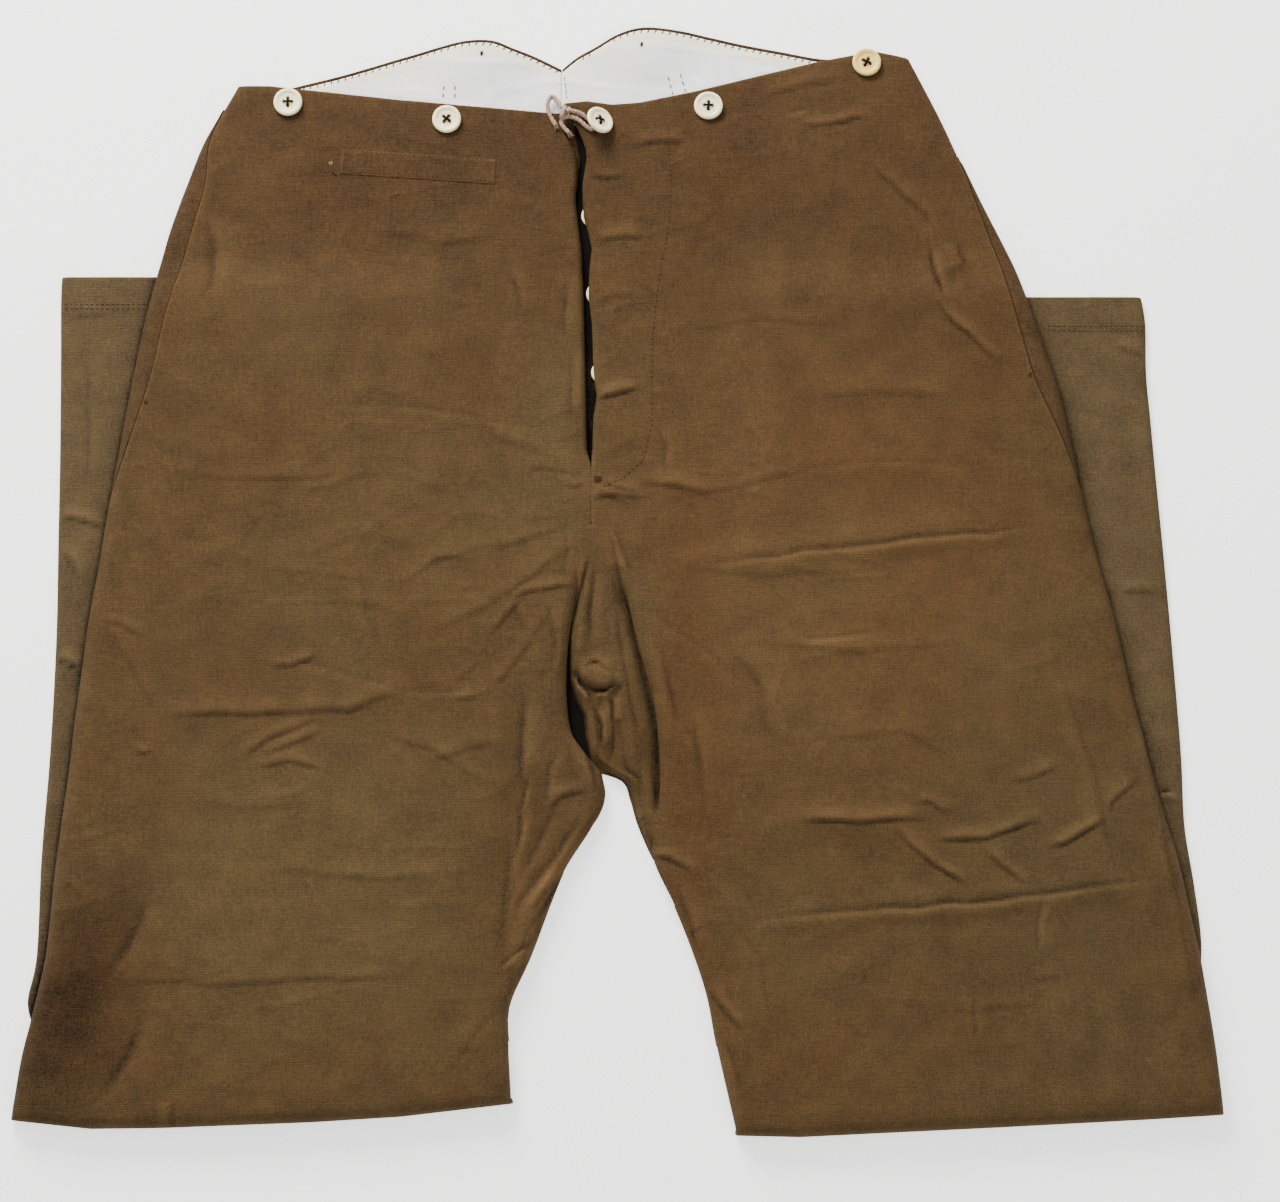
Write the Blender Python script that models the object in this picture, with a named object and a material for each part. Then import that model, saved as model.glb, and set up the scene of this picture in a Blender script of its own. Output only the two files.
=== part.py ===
"""Button-fly work trousers in brown cotton, laid flat with the front up and the lower legs folded under.

The trousers lie on z = 0. +X is the wearer's left, +Y runs up to the waist and +Z up from the table.
Sizes are in millimetres and become metres when a mesh is made. Right and left are the wearer's.
"""

import math

import bpy
import numpy as np
from mathutils import Vector
from mathutils.bvhtree import BVHTree

MILLIMETRE = 0.001

# Cloth
CLOTH = 1.4
LINING = 1.0
GAP = 0.3
SEAM_GAP = 0.9  # the side seam's lapped edge and the pocket opening stand a little apart

# The rolled side edges of a flattened leg
ROLL_INSETS = (0.0, 0.7, 2.4, 5.2, 9.0)
OUTER_ROLL = 9.0
OUTER_TUCK = 13.0
FLAT_COLUMNS = 8
ROW_STEP = 19.0

# The fold at the knee: how far the cloth has gone out, and the share of its height that is left
KNEE_ROLL = (
    ("out", "height"), (6.5, 0.97), (10.2, 0.86), (12.3, 0.68), (13.0, 0.46), (12.2, 0.22), (10.4, 0.0),
)
KNEE_FOOT = 0.3

# Heights over the table
LEG_LIFT = 4.2  # what the folded lower leg adds
CROWN = 0.9
HEM_LINE = (182.0, 150.0)  # the thigh climbs onto the lower leg between these
COVER_EDGE = 22.0
COVER_TOP_Y = 165.0

# The hidden layers: their edge under the leg's edge, as insets and shares of the height of the leg's foot
LAYER_EDGE = (
    ("inset", "height", "side"),
    (12.0, 0.92, 0.75),
    (1.8, 0.90, 0.60),
    (0.2, 0.64, 0.45),
    (1.7, 0.50, 0.30),
    (0.0, 0.28, 0.15),
    (1.0, 0.00, 0.00),
)
HIDDEN_FROM_WAIST = 34.0

# One row for each section of a leg, from the waist to where the knee fold starts to turn. "foot" is the
# height that an edge comes down to, "seam" the side seam's inset, "roll" the width of the inner edge's
# roll, "tuck" how far in the hidden layers start, "lip" how far they show (0 to 1).
SECTION = (
    "outer_x", "outer_y", "outer_foot", "seam", "outer_lip",
    "inner_x", "inner_y", "inner_foot", "roll", "tuck", "inner_lip", "height",
)
RIGHT_LEG = (
    SECTION,
    (-224, 284, 3.8, 0.0, 1, -38, 267, 3.6, 2, 13, 0, 5.6),
    (-242, 252, 2.8, 3.0, 1, -25, 240, 1.9, 3, 13, 0, 6.4),
    (-252, 225, 2.3, 11.0, 1, -25, 212, 1.9, 3, 13, 0, 7.0),
    (-260, 200, 3.4, 13.0, 0.5, -22, 187, 1.9, 3, 13, 0, 7.3),
    (-265, 180, 4.9, 13.0, 0, -21, 168, 1.9, 3, 13, 0, 7.4),
    (-273, 145, 4.6, 12.0, 0, -20, 140, 1.9, 3, 13, 0, 7.4),
    (-280, 105, 4.4, 11.0, 0, -19, 100, 1.9, 3, 13, 0, 7.4),
    (-286, 65, 4.4, 5.0, 0, -18, 65, 1.9, 3, 13, 0, 7.4),
    (-291, 32, 4.4, 0.0, 0, -16, 34, 2.7, 3, 13, 0, 7.4),
    (-295, 0, 4.4, 0.0, 0, -17, 8, 3.0, 4, 13, 0, 7.6),
    (-300, -34, 4.4, 0.0, 0, -25, -26, 3.1, 7, 13, 0, 8.0),
    (-303, -64, 4.4, 0.0, 0, -29, -60, 3.1, 8, 13, 0, 8.0),
    (-306, -94, 4.4, 0.0, 0, -27, -95, 3.1, 8, 13, 0, 8.0),
    (-308, -120, 4.4, 0.0, 0, -15, -122, 3.1, 8, 13, 0, 8.0),
    (-311, -148, 4.4, 0.0, 0, -12, -145, 3.2, 8, 13, 0, 8.0),
    (-314, -180, 4.4, 0.0, 0, -31, -178, 5.0, 8, 13, 1, 8.0),
    (-317, -222, 4.4, 0.0, 0, -48, -222, 5.4, 8, 13, 1, 8.0),
    (-323, -254, 4.4, 0.0, 0, -60, -250, 5.4, 8, 13, 1, 8.2),
    (-328, -277, 4.4, 0.0, 0, -60, -272, 5.4, 8, 13, 1, 8.6),
    (-331, -299, 4.4, 0.0, 0, -59, -290, 5.0, 8, 13, 0, 9.0),
)
LEFT_LEG = (
    SECTION,
    (170, 301, 3.8, 0.0, 1, -33, 273, 3.8, 2, 18, 0, 5.8),
    (187, 266, 2.8, 0.0, 1, -21, 246, 4.2, 3, 18, 0, 7.2),
    (200, 238, 2.3, 1.5, 1, -21, 222, 4.7, 3, 18, 0, 8.0),
    (211, 213, 2.6, 4.0, 1, -19, 196, 4.7, 3, 18, 0, 8.0),
    (222, 189, 4.2, 7.0, 0, -18, 172, 4.7, 3, 18, 0, 8.0),
    (231, 168, 4.9, 9.0, 0, -17, 150, 4.7, 3, 18, 0, 8.0),
    (243, 132, 4.6, 12.0, 0, -15, 120, 4.7, 3, 18, 0, 8.0),
    (252, 103, 4.4, 13.0, 0, -15, 95, 4.7, 3, 18, 0, 8.0),
    (259, 70, 4.4, 6.0, 0, -15.5, 68, 3.6, 3, 16, 0, 7.6),
    (265, 36, 4.4, 0.0, 0, -15.4, 34, 2.7, 3, 13, 0, 7.4),
    (271, 6, 4.4, 0.0, 0, -5, 8, 3.0, 4, 13, 0, 7.6),
    (278, -22, 4.4, 0.0, 0, 4, -20, 3.1, 7, 13, 0, 8.0),
    (284, -50, 4.4, 0.0, 0, 11, -50, 3.1, 8, 13, 0, 8.0),
    (289, -76, 4.4, 0.0, 0, 19, -78, 3.1, 8, 13, 0, 8.0),
    (295, -101, 4.4, 0.0, 0, 22, -102, 3.1, 8, 13, 0, 8.0),
    (300, -124, 4.4, 0.0, 0, 23, -126, 3.1, 8, 13, 0, 8.0),
    (306, -148, 4.4, 0.0, 0, 21, -147, 3.2, 8, 13, 0, 8.0),
    (312, -170, 4.4, 0.0, 0, 19, -168, 4.2, 8, 13, 0, 8.0),
    (317, -196, 4.4, 0.0, 0, 31, -195, 5.2, 8, 13, 1, 8.0),
    (322, -222, 4.4, 0.0, 0, 41, -220, 5.4, 8, 13, 1, 8.0),
    (326, -250, 4.4, 0.0, 0, 49, -245, 5.4, 8, 13, 1, 8.2),
    (329, -274, 4.4, 0.0, 0, 54, -272, 5.4, 8, 13, 1, 8.6),
    (331, -296, 4.4, 0.0, 0, 62, -307.5, 5.0, 8, 13, 0, 9.0),
)

# How far an end's edge bows past its straight chord, against the share of the way in from the outer side
WAIST_BOW = {
    "right": (("share", "rise"), (0.0, 0.0), (0.10, 1.5), (0.5, 0.0), (1.0, 0.0)),
    "left": (
        ("share", "rise"), (0.0, 0.0), (0.10, 7.0), (0.26, 5.2), (0.44, 1.0), (0.62, -3.2),
        (0.78, -5.6), (0.86, -4.6), (0.93, -0.5), (1.0, 0.0),
    ),
}
KNEE_BOW = {
    "right": (
        ("share", "rise"), (0.0, 0.0), (0.16, -6.0), (0.3, -6.8), (0.6, -6.4), (0.78, -5.0), (1.0, 0.0),
    ),
    "left": (
        ("share", "rise"), (0.0, 0.0), (0.16, -0.8), (0.46, -1.6), (0.67, -1.9), (0.87, -2.2), (1.0, 0.0),
    ),
}
BOW_ROWS = 2.0  # sections over which an end's bow dies out
FOOT_BLEND = (0.3, 0.7)  # where, across a leg, the outer foot's height gives way to the inner one's

# The lower leg's inner edge under the thigh, at the hem and at the knee
COVER_X = {"right": (-94.0, -40.0), "left": (75.0, 45.0)}
KNEE_Y = -305.0

# The largest folds: a soft ridge (or trough, below 0) along a line
FOLDS = (
    ("x0", "y0", "x1", "y1", "height", "width"),
    (-265, -88, -120, -76, 0.9, 9),
    (-264, -224, -88, -226, 0.8, 9),
    (-66, -75, -70, -168, 1.6, 10),
    (-70, -150, -34, -205, 1.3, 10),
    (-262, 190, -246, 110, -1.3, 12),
    (-60, 175, -54, 100, 0.9, 8),
    (40, 0, 205, 18, 1.4, 9),
    (90, -148, 166, -148, 1.4, 9),
    (146, -152, 186, -186, 1.5, 9),
    (60, -206, 300, -178, 1.3, 9),
    (172, 160, 214, 108, 1.5, 9),
    (180, 196, 190, 166, 1.2, 8),
    (64, 62, 170, 54, 0.8, 9),
)

FOLD_REACH = 2.5  # widths at which a fold is cut off
FOLD_FADE = (-0.15, 0.2)  # where along its line a fold rises, and from its far end where it sinks

# The back's edge beside the front, where it is wide enough to be a wall of its own
SEAM_COLUMNS = (0.0, 0.07, 0.22, 0.5, 1.0)
SEAM_LEAST = 2.5

# Lower legs: the strip beside each thigh, from the hem down. The inner side is tucked under the thigh.
LOWER_ROLL = (0.0, 0.7, 2.2, 4.6)
LOWER_NARROW = 0.3  # the most of a narrow strip that each of those steps takes
LOWER_TUCK = 12.0
LOWER_TOP = 3.6
LOWER_FOOT = 0.5
HEM_DEPTH = 17.0
HEM_EASE = 6.0
HEM_STEP = 0.4
HEM_WALL = 0.5
PLY_GAP = 0.1  # taken off the ply on the table
MOUTH_INSET = 3.4
LOWER_LEG = {
    "right": (
        ("outer_x", "y"), (-324, 168), (-324, 151), (-322.5, 110), (-321, 60), (-320, 10), (-319, -45),
        (-320, -110), (-322.5, -168), (-323, -222), (-327, -248), (-322, -264),
    ),
    "left": (
        ("outer_x", "y"), (303, 156), (305, 139), (304.5, 110), (306, 83), (308, 48), (311, 0), (314, -55),
        (316.5, -110), (317, -150), (321, -182), (324, -214), (322, -240),
    ),
}

# The fishtail: its top edge, and the bottom edge tucked under the front
FISHTAIL = {
    "right": (
        ("x", "top", "bottom"), (-218, 278.5, 257), (-205, 280, 253), (-191, 284.5, 251), (-166, 291, 249),
        (-146, 297, 248), (-127, 303, 247), (-106, 309, 246), (-90, 312.5, 246), (-75, 312.5, 246),
        (-63, 308, 248), (-52, 304, 259), (-43, 300, 262), (-34.2, 295.5, 262),
    ),
    "left": (
        ("x", "top", "bottom"), (-33.8, 295.5, 262), (-25, 303, 262), (-14, 309, 262), (0, 317, 262),
        (15, 320.8, 250), (36, 319, 254), (53, 315.5, 257), (72, 311, 262), (95, 306.5, 268),
        (119, 302, 274), (135, 302.5, 278), (150, 303, 281), (163, 299, 279),
    ),
}
LINING_INSET = 1.8
BACK_ROWS = (0.0, 0.3, 0.65, 1.0)
BUTTON_LIFT = 3.5
LIFT_REACH = (44.0, 32.0)
LIFT_TOP = 0.12  # the share of that reach that lies flat on the button

# The fork of the seat between the fronts. "left" and "right" are its tucked edges, "fold_left" and
# "fold_right" the edges that show, "height" its crown.
FORK = (
    ("y", "left", "fold_left", "fold_right", "right", "height"),
    (22, -21, -15, -12, -6, 2.0),
    (6, -26, -15.5, -6.5, 4, 4.2),
    (-12, -30, -21, 0, 10, 5.4),
    (-30, -35, -26, 6, 16, 6.0),
    (-50, -38, -29, 11, 22, 6.4),
    (-68, -39, -28, 15, 26, 7.2),
    (-84, -38, -25, 19, 31, 7.0),
    (-98, -35, -20, 21.5, 33, 6.8),
    (-110, -28, -16.5, 22, 33, 6.4),
)
FORK_END = (
    ("y", "left", "fold_left", "fold_right", "right", "height"),
    (-118, -18, -9.5, 22, 33, 6.0),
    (-125, 1.5, 3.5, 22.5, 34, 5.6),
    (-136, 6.5, 8.5, 23, 34, 5.2),
    (-148, 10, 12, 21, 31, 4.6),
    (-160, 14.5, 16.2, 19, 27, 3.4),
    (-169, 17.8, 18.7, 20.2, 25.5, 2.8),
)
FORK_EDGE = 1.8
FORK_TUBES = (
    ("share", "height"), (0.0, 0.0), (0.16, 1.0), (0.36, 0.72), (0.54, 1.0), (0.76, 0.86), (1.0, 0.0),
)
FORK_FREE_EDGE = 0.5
FORK_LIPS = (0.4, 0.1, 0.3)  # the left lip's way out and its rise, and the right lip's rise

# The button stand under the fly, by the height up the front
STAND = (
    ("y", "x0", "x1"), (258, -38, -9), (238, -36, -5), (205, -34, -4), (160, -31, -2), (110, -29, -1),
    (56, -27.5, -5),
)

# Buttons: a turned profile, with a dished face
BUTTON_RADIUS = 8.4
FLY_BUTTON_RADIUS = 7.0
BUTTON_THICKNESS = 2.4
BUTTON_SIDES = 20
BUTTON_PROFILE = (
    ("radius", "height"), (0.62, 0.0), (0.95, 0.25), (1.0, 0.62), (0.93, 0.96), (0.80, 1.0), (0.66, 0.72),
)
BUTTON_SHANK = 0.4
BUTTON_BED = 0.9  # the share of its radius at which a button may touch the cloth
BRACE_BUTTONS = ((-194.0, 273.0), (-101.0, 262.5), (52.0, 270.5), (145.0, 297.5))
WAIST_BUTTON = (-12.0, 260.0)
WAIST_BUTTON_TILT = math.radians(34)
WAIST_BUTTON_TURN = math.radians(24)
FLY_BUTTONS = ((-15.2, 205.0), (-12.2, 158.0), (-9.2, 111.0))
BACK_BUTTONS = {"right": (-81.0, 303.5), "left": (13.0, 309.0)}

# The watch pocket's welt on the right front
WATCH_POCKET = {
    "start": (-163.0, 236.5), "end": (-72.0, 230.5), "width": 16.0, "thickness": 1.0, "clear": 0.45,
}

# The waist string: free end, loop through the buttonhole, round the button's shank, free end
STRING_DIAMETER = 2.6
STRING_ROUTE = (
    ("x", "y", "z"),
    (-37.2, 258.8, 7.5), (-39.4, 262.4, 7.45), (-41.2, 266.6, 7.3), (-42.0, 271.0, 6.9), (-41.2, 275.0, 6.4),
    (-39.0, 276.8, 6.3), (-36.8, 274.2, 7.0), (-34.4, 270.4, 8.5), (-31.2, 267.6, 9.9), (-27.0, 266.6, 9.9),
    (-23.0, 265.6, 9.2), (-19.4, 263.2, 8.5), (-16.4, 260.4, 8.3), (-14.4, 257.8, 8.3), (-16.4, 256.0, 8.4),
    (-19.6, 258.0, 8.35), (-22.6, 260.8, 8.35), (-26.2, 263.0, 8.4), (-30.0, 263.8, 8.3), (-33.4, 262.6, 8.0),
    (-33.8, 259.6, 7.6), (-31.8, 256.6, 7.5), (-29.4, 254.2, 7.4),
)

# Colours, linear: the brown cotton, its paler lower legs, lining, buttons, thread and string
COLOURS = {
    "cloth_brown": (0.128, 0.072, 0.033),
    "cloth_olive": (0.165, 0.110, 0.052),
    "lining_white": (0.78, 0.78, 0.75),
    "button_ivory": (0.88, 0.83, 0.64),
    "button_yellow": (0.84, 0.62, 0.26),
    "string_cotton": (0.55, 0.42, 0.34),
}
ROUGHNESS = {"cloth_brown": 0.9, "cloth_olive": 0.9, "lining_white": 0.85, "string_cotton": 0.9}
BUTTON_ROUGHNESS = 0.4


def table(rows):
    """A table's columns by name, from its heading row and its number rows."""
    return dict(zip(rows[0], np.array(rows[1:], float).T, strict=True))


def smooth(low, high, value):
    share = min(max((value - low) / (high - low), 0.0), 1.0)
    return share * share * (3 - 2 * share)


def at_row(column, row):
    """A section column's value at a fractional row, on a smooth curve through the rows."""
    i = min(int(row), len(column) - 2)
    t = row - i
    a, b, c, d = (column[min(max(i + k, 0), len(column) - 1)] for k in (-1, 0, 1, 2))
    return b + 0.5 * t * (c - a + t * (2 * a - 5 * b + 4 * c - d + t * (3 * (b - c) + d - a)))


def roll(inset, width):
    """The share of the height that a rolled edge of that width has at an inset."""
    left = 1 - min(max(inset / width, 0.0), 1.0)
    return math.sqrt(1 - left * left)


def material(name):
    made = bpy.data.materials.get(name) or bpy.data.materials.new(name)
    made.use_nodes = True
    shader = made.node_tree.nodes["Principled BSDF"]
    shader.inputs["Base Color"].default_value = (*COLOURS[name], 1)
    shader.inputs["Roughness"].default_value = ROUGHNESS.get(name, BUTTON_ROUGHNESS)
    made.diffuse_color = (*COLOURS[name], 1)
    return made


def add_mesh(name, points, faces, material_name, smooth_faces=True):
    mesh = bpy.data.meshes.new(name)
    mesh.from_pydata([tuple(np.array(p) * MILLIMETRE) for p in points], [], faces)
    mesh.validate()
    mesh.update()
    mesh.materials.append(material(material_name))
    if smooth_faces:
        mesh.shade_smooth()
        mesh.set_sharp_from_angle(angle=math.radians(50))
    made = bpy.data.objects.new(name, mesh)
    bpy.context.collection.objects.link(made)
    return made


def grid_faces(rows, columns, start=0, flip=False):
    """The triangles of a grid of points, all cut along the same diagonal."""
    faces = []
    for i in range(rows - 1):
        for j in range(columns - 1):
            a = start + i * columns + j
            b, c, d = a + 1, a + columns + 1, a + columns
            faces += [(a, c, b), (a, d, c)] if flip else [(a, b, c), (a, c, d)]
    return faces


def border(rows, columns):
    """The numbers of a grid's border points, in order round it."""
    return (
        [j for j in range(columns)]
        + [i * columns + columns - 1 for i in range(1, rows)]
        + [(rows - 1) * columns + j for j in range(columns - 2, -1, -1)]
        + [i * columns for i in range(rows - 2, 0, -1)]
    )


def normals(grid):
    """Unit normals of a grid of points, on its upper side."""
    along, across = np.gradient(grid, axis=0), np.gradient(grid, axis=1)
    n = np.cross(across, along)
    if n[len(n) // 2, n.shape[1] // 2, 2] < 0:
        n = -n
    return n / np.linalg.norm(n, axis=2, keepdims=True)


def solid_between(name, top, bottom, material_name):
    """A closed wall between two grids of the same shape, the first one on top."""
    rows, columns = top.shape[:2]
    count = rows * columns
    across, along = top[0, -1] - top[0, 0], top[-1, 0] - top[0, 0]
    flip = np.cross(across, along)[2] < 0
    faces = grid_faces(rows, columns, 0, flip) + grid_faces(rows, columns, count, not flip)
    edge = border(rows, columns)
    for a, b in zip(edge, edge[1:] + edge[:1], strict=True):
        quad = (a, a + count, b + count, b)
        faces.append(quad[::-1] if flip else quad)
    points = np.concatenate([top.reshape(-1, 3), bottom.reshape(-1, 3)])
    return add_mesh(name, points, faces, material_name)


class Leg:
    """The upper surface of one leg and its half of the seat, from the waist to the knee fold."""

    def __init__(self, side):
        self.side = side
        self.sections = table(RIGHT_LEG if side == "right" else LEFT_LEG)
        self.last = len(self.sections["height"]) - 1
        self.waist_bow = table(WAIST_BOW[side])
        self.knee_bow = table(KNEE_BOW[side])
        self.folds = table(FOLDS)

    def value(self, name, row):
        return float(at_row(self.sections[name], row))

    def ends(self, row):
        outer = np.array([self.value("outer_x", row), self.value("outer_y", row)])
        inner = np.array([self.value("inner_x", row), self.value("inner_y", row)])
        return outer, inner

    def width(self, row):
        outer, inner = self.ends(row)
        return float(np.linalg.norm(inner - outer))

    def cover(self, x, y):
        """How much of the folded lower leg lies under a point, from 0 to 1."""
        hem_x, knee_x = COVER_X[self.side]
        edge = knee_x + (hem_x - knee_x) * (y - KNEE_Y) / (COVER_TOP_Y - KNEE_Y)
        outwards = (edge - x) if self.side == "right" else (x - edge)
        return smooth(-COVER_EDGE, COVER_EDGE, outwards) * (1 - smooth(HEM_LINE[1], HEM_LINE[0], y))

    def fold_height(self, x, y):
        total = 0.0
        f = self.folds
        for x0, y0, x1, y1, height, width in zip(*(f[k] for k in FOLDS[0]), strict=True):
            dx, dy = x1 - x0, y1 - y0
            length = math.hypot(dx, dy)
            t = ((x - x0) * dx + (y - y0) * dy) / length**2
            away = abs((x - x0) * dy - (y - y0) * dx) / length
            if away < FOLD_REACH * width:
                ends = smooth(*FOLD_FADE, t) * smooth(*FOLD_FADE, 1 - t)
                total += height * ends * math.exp(-((away / width) ** 2))
        return total

    def point(self, row, inset):
        """A point of the upper surface, by section row and by distance from the outer edge."""
        outer, inner = self.ends(row)
        width = float(np.linalg.norm(inner - outer))
        share = inset / width
        x, y = outer + (inner - outer) * share
        waist = max(0.0, 1 - row / BOW_ROWS) ** 2
        y += waist * float(np.interp(share, self.waist_bow["share"], self.waist_bow["rise"]))
        knee = max(0.0, 1 - (self.last - row) / BOW_ROWS) ** 2
        y += knee * float(np.interp(share, self.knee_bow["share"], self.knee_bow["rise"]))
        inside = self.value("height", row) + LEG_LIFT * self.cover(x, y) + self.fold_height(x, y)
        inside += CROWN * math.sin(math.pi * min(max(share, 0), 1)) * smooth(0, 2, row)
        foot_share = smooth(*FOOT_BLEND, share)
        foot = (1 - foot_share) * self.value("outer_foot", row) + foot_share * self.value("inner_foot", row)
        rise = roll(inset, OUTER_ROLL) * roll(width - inset, self.value("roll", row))
        return np.array([x, y, foot + (inside - foot) * rise])

    def insets(self, row):
        """The front's columns at a row, as distances from the outer edge."""
        seam = max(self.value("seam", row), 0.0)
        width, tuck = self.width(row), self.value("tuck", row)
        left = [seam + k for k in (*ROLL_INSETS, OUTER_TUCK)]
        right = [width - k for k in (tuck, *reversed(ROLL_INSETS))]
        flat = [left[-1] + (right[0] - left[-1]) * k / (FLAT_COLUMNS - 1) for k in range(1, FLAT_COLUMNS - 1)]
        return left + flat + right

    def rows(self):
        """The front's rows: even steps along the leg, with one where the hidden layers start."""
        middle = [sum(self.ends(r)) / 2 for r in range(self.last + 1)]
        along = np.concatenate([[0], np.cumsum(np.linalg.norm(np.diff(middle, axis=0), axis=1))])
        steps = round((along[-1] - HIDDEN_FROM_WAIST) / ROW_STEP)
        distances = [0, HIDDEN_FROM_WAIST / 2, *np.linspace(HIDDEN_FROM_WAIST, along[-1], steps + 1)]
        return [float(np.interp(d, along, range(self.last + 1))) for d in distances]

    def surface(self):
        """The front's upper surface as a grid, with the knee fold's rows at its end."""
        grid = [[self.point(row, inset) for inset in self.insets(row)] for row in self.rows()]
        last, before = np.array(grid[-1]), np.array(grid[-2])
        way = last - before
        way[:, 2] = 0
        way /= np.linalg.norm(way, axis=1, keepdims=True)
        turn = table(KNEE_ROLL)
        for out, height in zip(turn["out"], turn["height"], strict=True):
            ring = last + way * out
            ring[:, 2] = KNEE_FOOT + (last[:, 2] - KNEE_FOOT) * height
            grid.append(list(ring))
        return np.array(grid)


def front(leg, grid):
    """A front panel: a wall that hangs from its upper surface."""
    return solid_between(f"front_{leg.side}", grid, grid - normals(grid) * CLOTH, "cloth_brown")


def hidden_layers(leg, grid):
    """The plies under a front, as one rounded solid with its plies parted at the edges that show."""
    first, roll_columns, turn_rows = 2, len(ROLL_INSETS), len(KNEE_ROLL) - 1
    lowered = grid - normals(grid) * (CLOTH + GAP)
    top = lowered[first : grid.shape[0] - turn_rows, roll_columns:-roll_columns]
    rows, columns = top.shape[:2]
    at = leg.rows()[first:]
    edge, profile = border(rows, columns), table(LAYER_EDGE)
    points, faces = list(top.reshape(-1, 3)), []
    flip = leg.side == "left"
    faces += grid_faces(rows, columns, 0, not flip)
    ring = edge
    for inset, height, side in zip(profile["inset"], profile["height"], profile["side"], strict=True):
        start = len(points)
        for k in edge:
            i, j = divmod(k, columns)
            row, here = at[i], top[i, j]
            width = leg.width(row)
            outer_edge, inner_edge = j == 0, j == columns - 1
            ends_fade = smooth(0, 1.2, min(i, rows - 1 - i))
            lip = ends_fade * min(
                max(leg.value("outer_lip" if outer_edge else "inner_lip", row), 0.0), 1.0
            ) * (outer_edge or inner_edge)
            plain = np.array([here[0], here[1], here[2] * side])
            foot = leg.value("outer_foot" if outer_edge else "inner_foot", row)
            out = leg.point(row, inset if outer_edge else width - inset)
            shown = np.array([out[0], out[1], foot * height])
            points.append(plain * (1 - lip) + shown * lip)
        new = list(range(start, start + len(edge)))
        for n in range(len(edge)):
            m = (n + 1) % len(edge)
            quad = (ring[n], new[n], new[m], ring[m])
            faces.append(quad if flip else quad[::-1])
        ring = new
    faces.append(tuple(ring) if not flip else tuple(ring[::-1]))
    return add_mesh(f"hidden_layers_{leg.side}", points, faces, "cloth_olive")


def back_side(leg):
    """The edge of the back that the side seam leaves in sight beside the front."""
    rows = [r for r in leg.rows() if leg.value("seam", r) > SEAM_LEAST]
    top = []
    for row in rows:
        seam = leg.value("seam", row) - SEAM_GAP
        top.append([leg.point(row, seam * share) for share in SEAM_COLUMNS])
    top = np.array(top)
    return solid_between(f"back_{leg.side}_side", top, top - normals(top) * CLOTH, "cloth_brown")


def outer_edge_x(leg, y):
    """Where a leg's outer edge is, at a height up the trousers."""
    s = leg.sections
    return float(np.interp(-y, -s["outer_y"], s["outer_x"]))


def lower_leg(leg):
    """The lower leg that shows beside the thigh: its back on top and its front on the table."""
    outline = table(LOWER_LEG[leg.side])
    inwards = 1 if leg.side == "right" else -1
    hem = outline["y"][0]
    top, wall, below = [], [], []
    for outer_x, y in zip(outline["outer_x"], outline["y"], strict=True):
        inner_x = outer_edge_x(leg, y) + inwards * LOWER_TUCK
        width = abs(inner_x - outer_x)
        at_hem = 1 - smooth(HEM_DEPTH, HEM_DEPTH + HEM_EASE, hem - y)
        insets = [min(k, width * LOWER_NARROW * n) for n, k in enumerate(LOWER_ROLL)] + [width * 0.5, width]
        row = []
        for inset in insets:
            height = LOWER_FOOT + (LOWER_TOP + HEM_STEP * at_hem - LOWER_FOOT) * roll(inset, LOWER_ROLL[-1])
            row.append((outer_x + inwards * inset, y, height))
        top.append(row)
        wall.append(CLOTH + HEM_WALL * at_hem)
        across = (MOUTH_INSET, width * 0.5, width)
        below.append([(outer_x + inwards * inset, y, CLOTH - PLY_GAP) for inset in across])
    top, below = np.array(top), np.array(below)
    under = top - normals(top) * np.array(wall)[:, None, None]
    under[:, :, 2] = np.maximum(under[:, :, 2], 0)
    solid_between(f"lower_leg_{leg.side}_back", top, under, "cloth_olive")
    flat = below.copy()
    flat[:, :, 2] = 0
    solid_between(f"lower_leg_{leg.side}_front", below, flat, "cloth_olive")


def fishtail(side):
    """The back above the front's waist, and the lining that lies on it."""
    outline = table(FISHTAIL[side])
    button_x, button_y = BACK_BUTTONS[side]

    def sheet(top_inset, side_inset, height):
        rows = []
        ends = (outline["x"][0], outline["x"][-1])
        for x, top, bottom in zip(outline["x"], outline["top"], outline["bottom"], strict=True):
            if side == "right" and x == ends[0]:
                x += side_inset
            if side == "left" and x == ends[1]:
                x -= side_inset
            row = []
            for share in BACK_ROWS:
                y = top - top_inset + (bottom - top + top_inset) * share
                reach_x, reach_y = (x - button_x) / LIFT_REACH[0], (y - button_y) / LIFT_REACH[1]
                away = math.hypot(reach_x, reach_y)
                row.append((x, y, height + BUTTON_LIFT * (1 - smooth(LIFT_TOP, 1.0, away))))
            rows.append(row)
        return np.array(rows)

    down = np.array([0, 0, 1.0])
    cloth = sheet(0, 0, CLOTH)
    solid_between(f"back_{side}_rise", cloth, cloth - down * CLOTH, "cloth_brown")
    lining = sheet(LINING_INSET, LINING_INSET, CLOTH + GAP + LINING)
    solid_between(f"back_{side}_lining", lining, lining - down * LINING, "lining_white")


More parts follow.
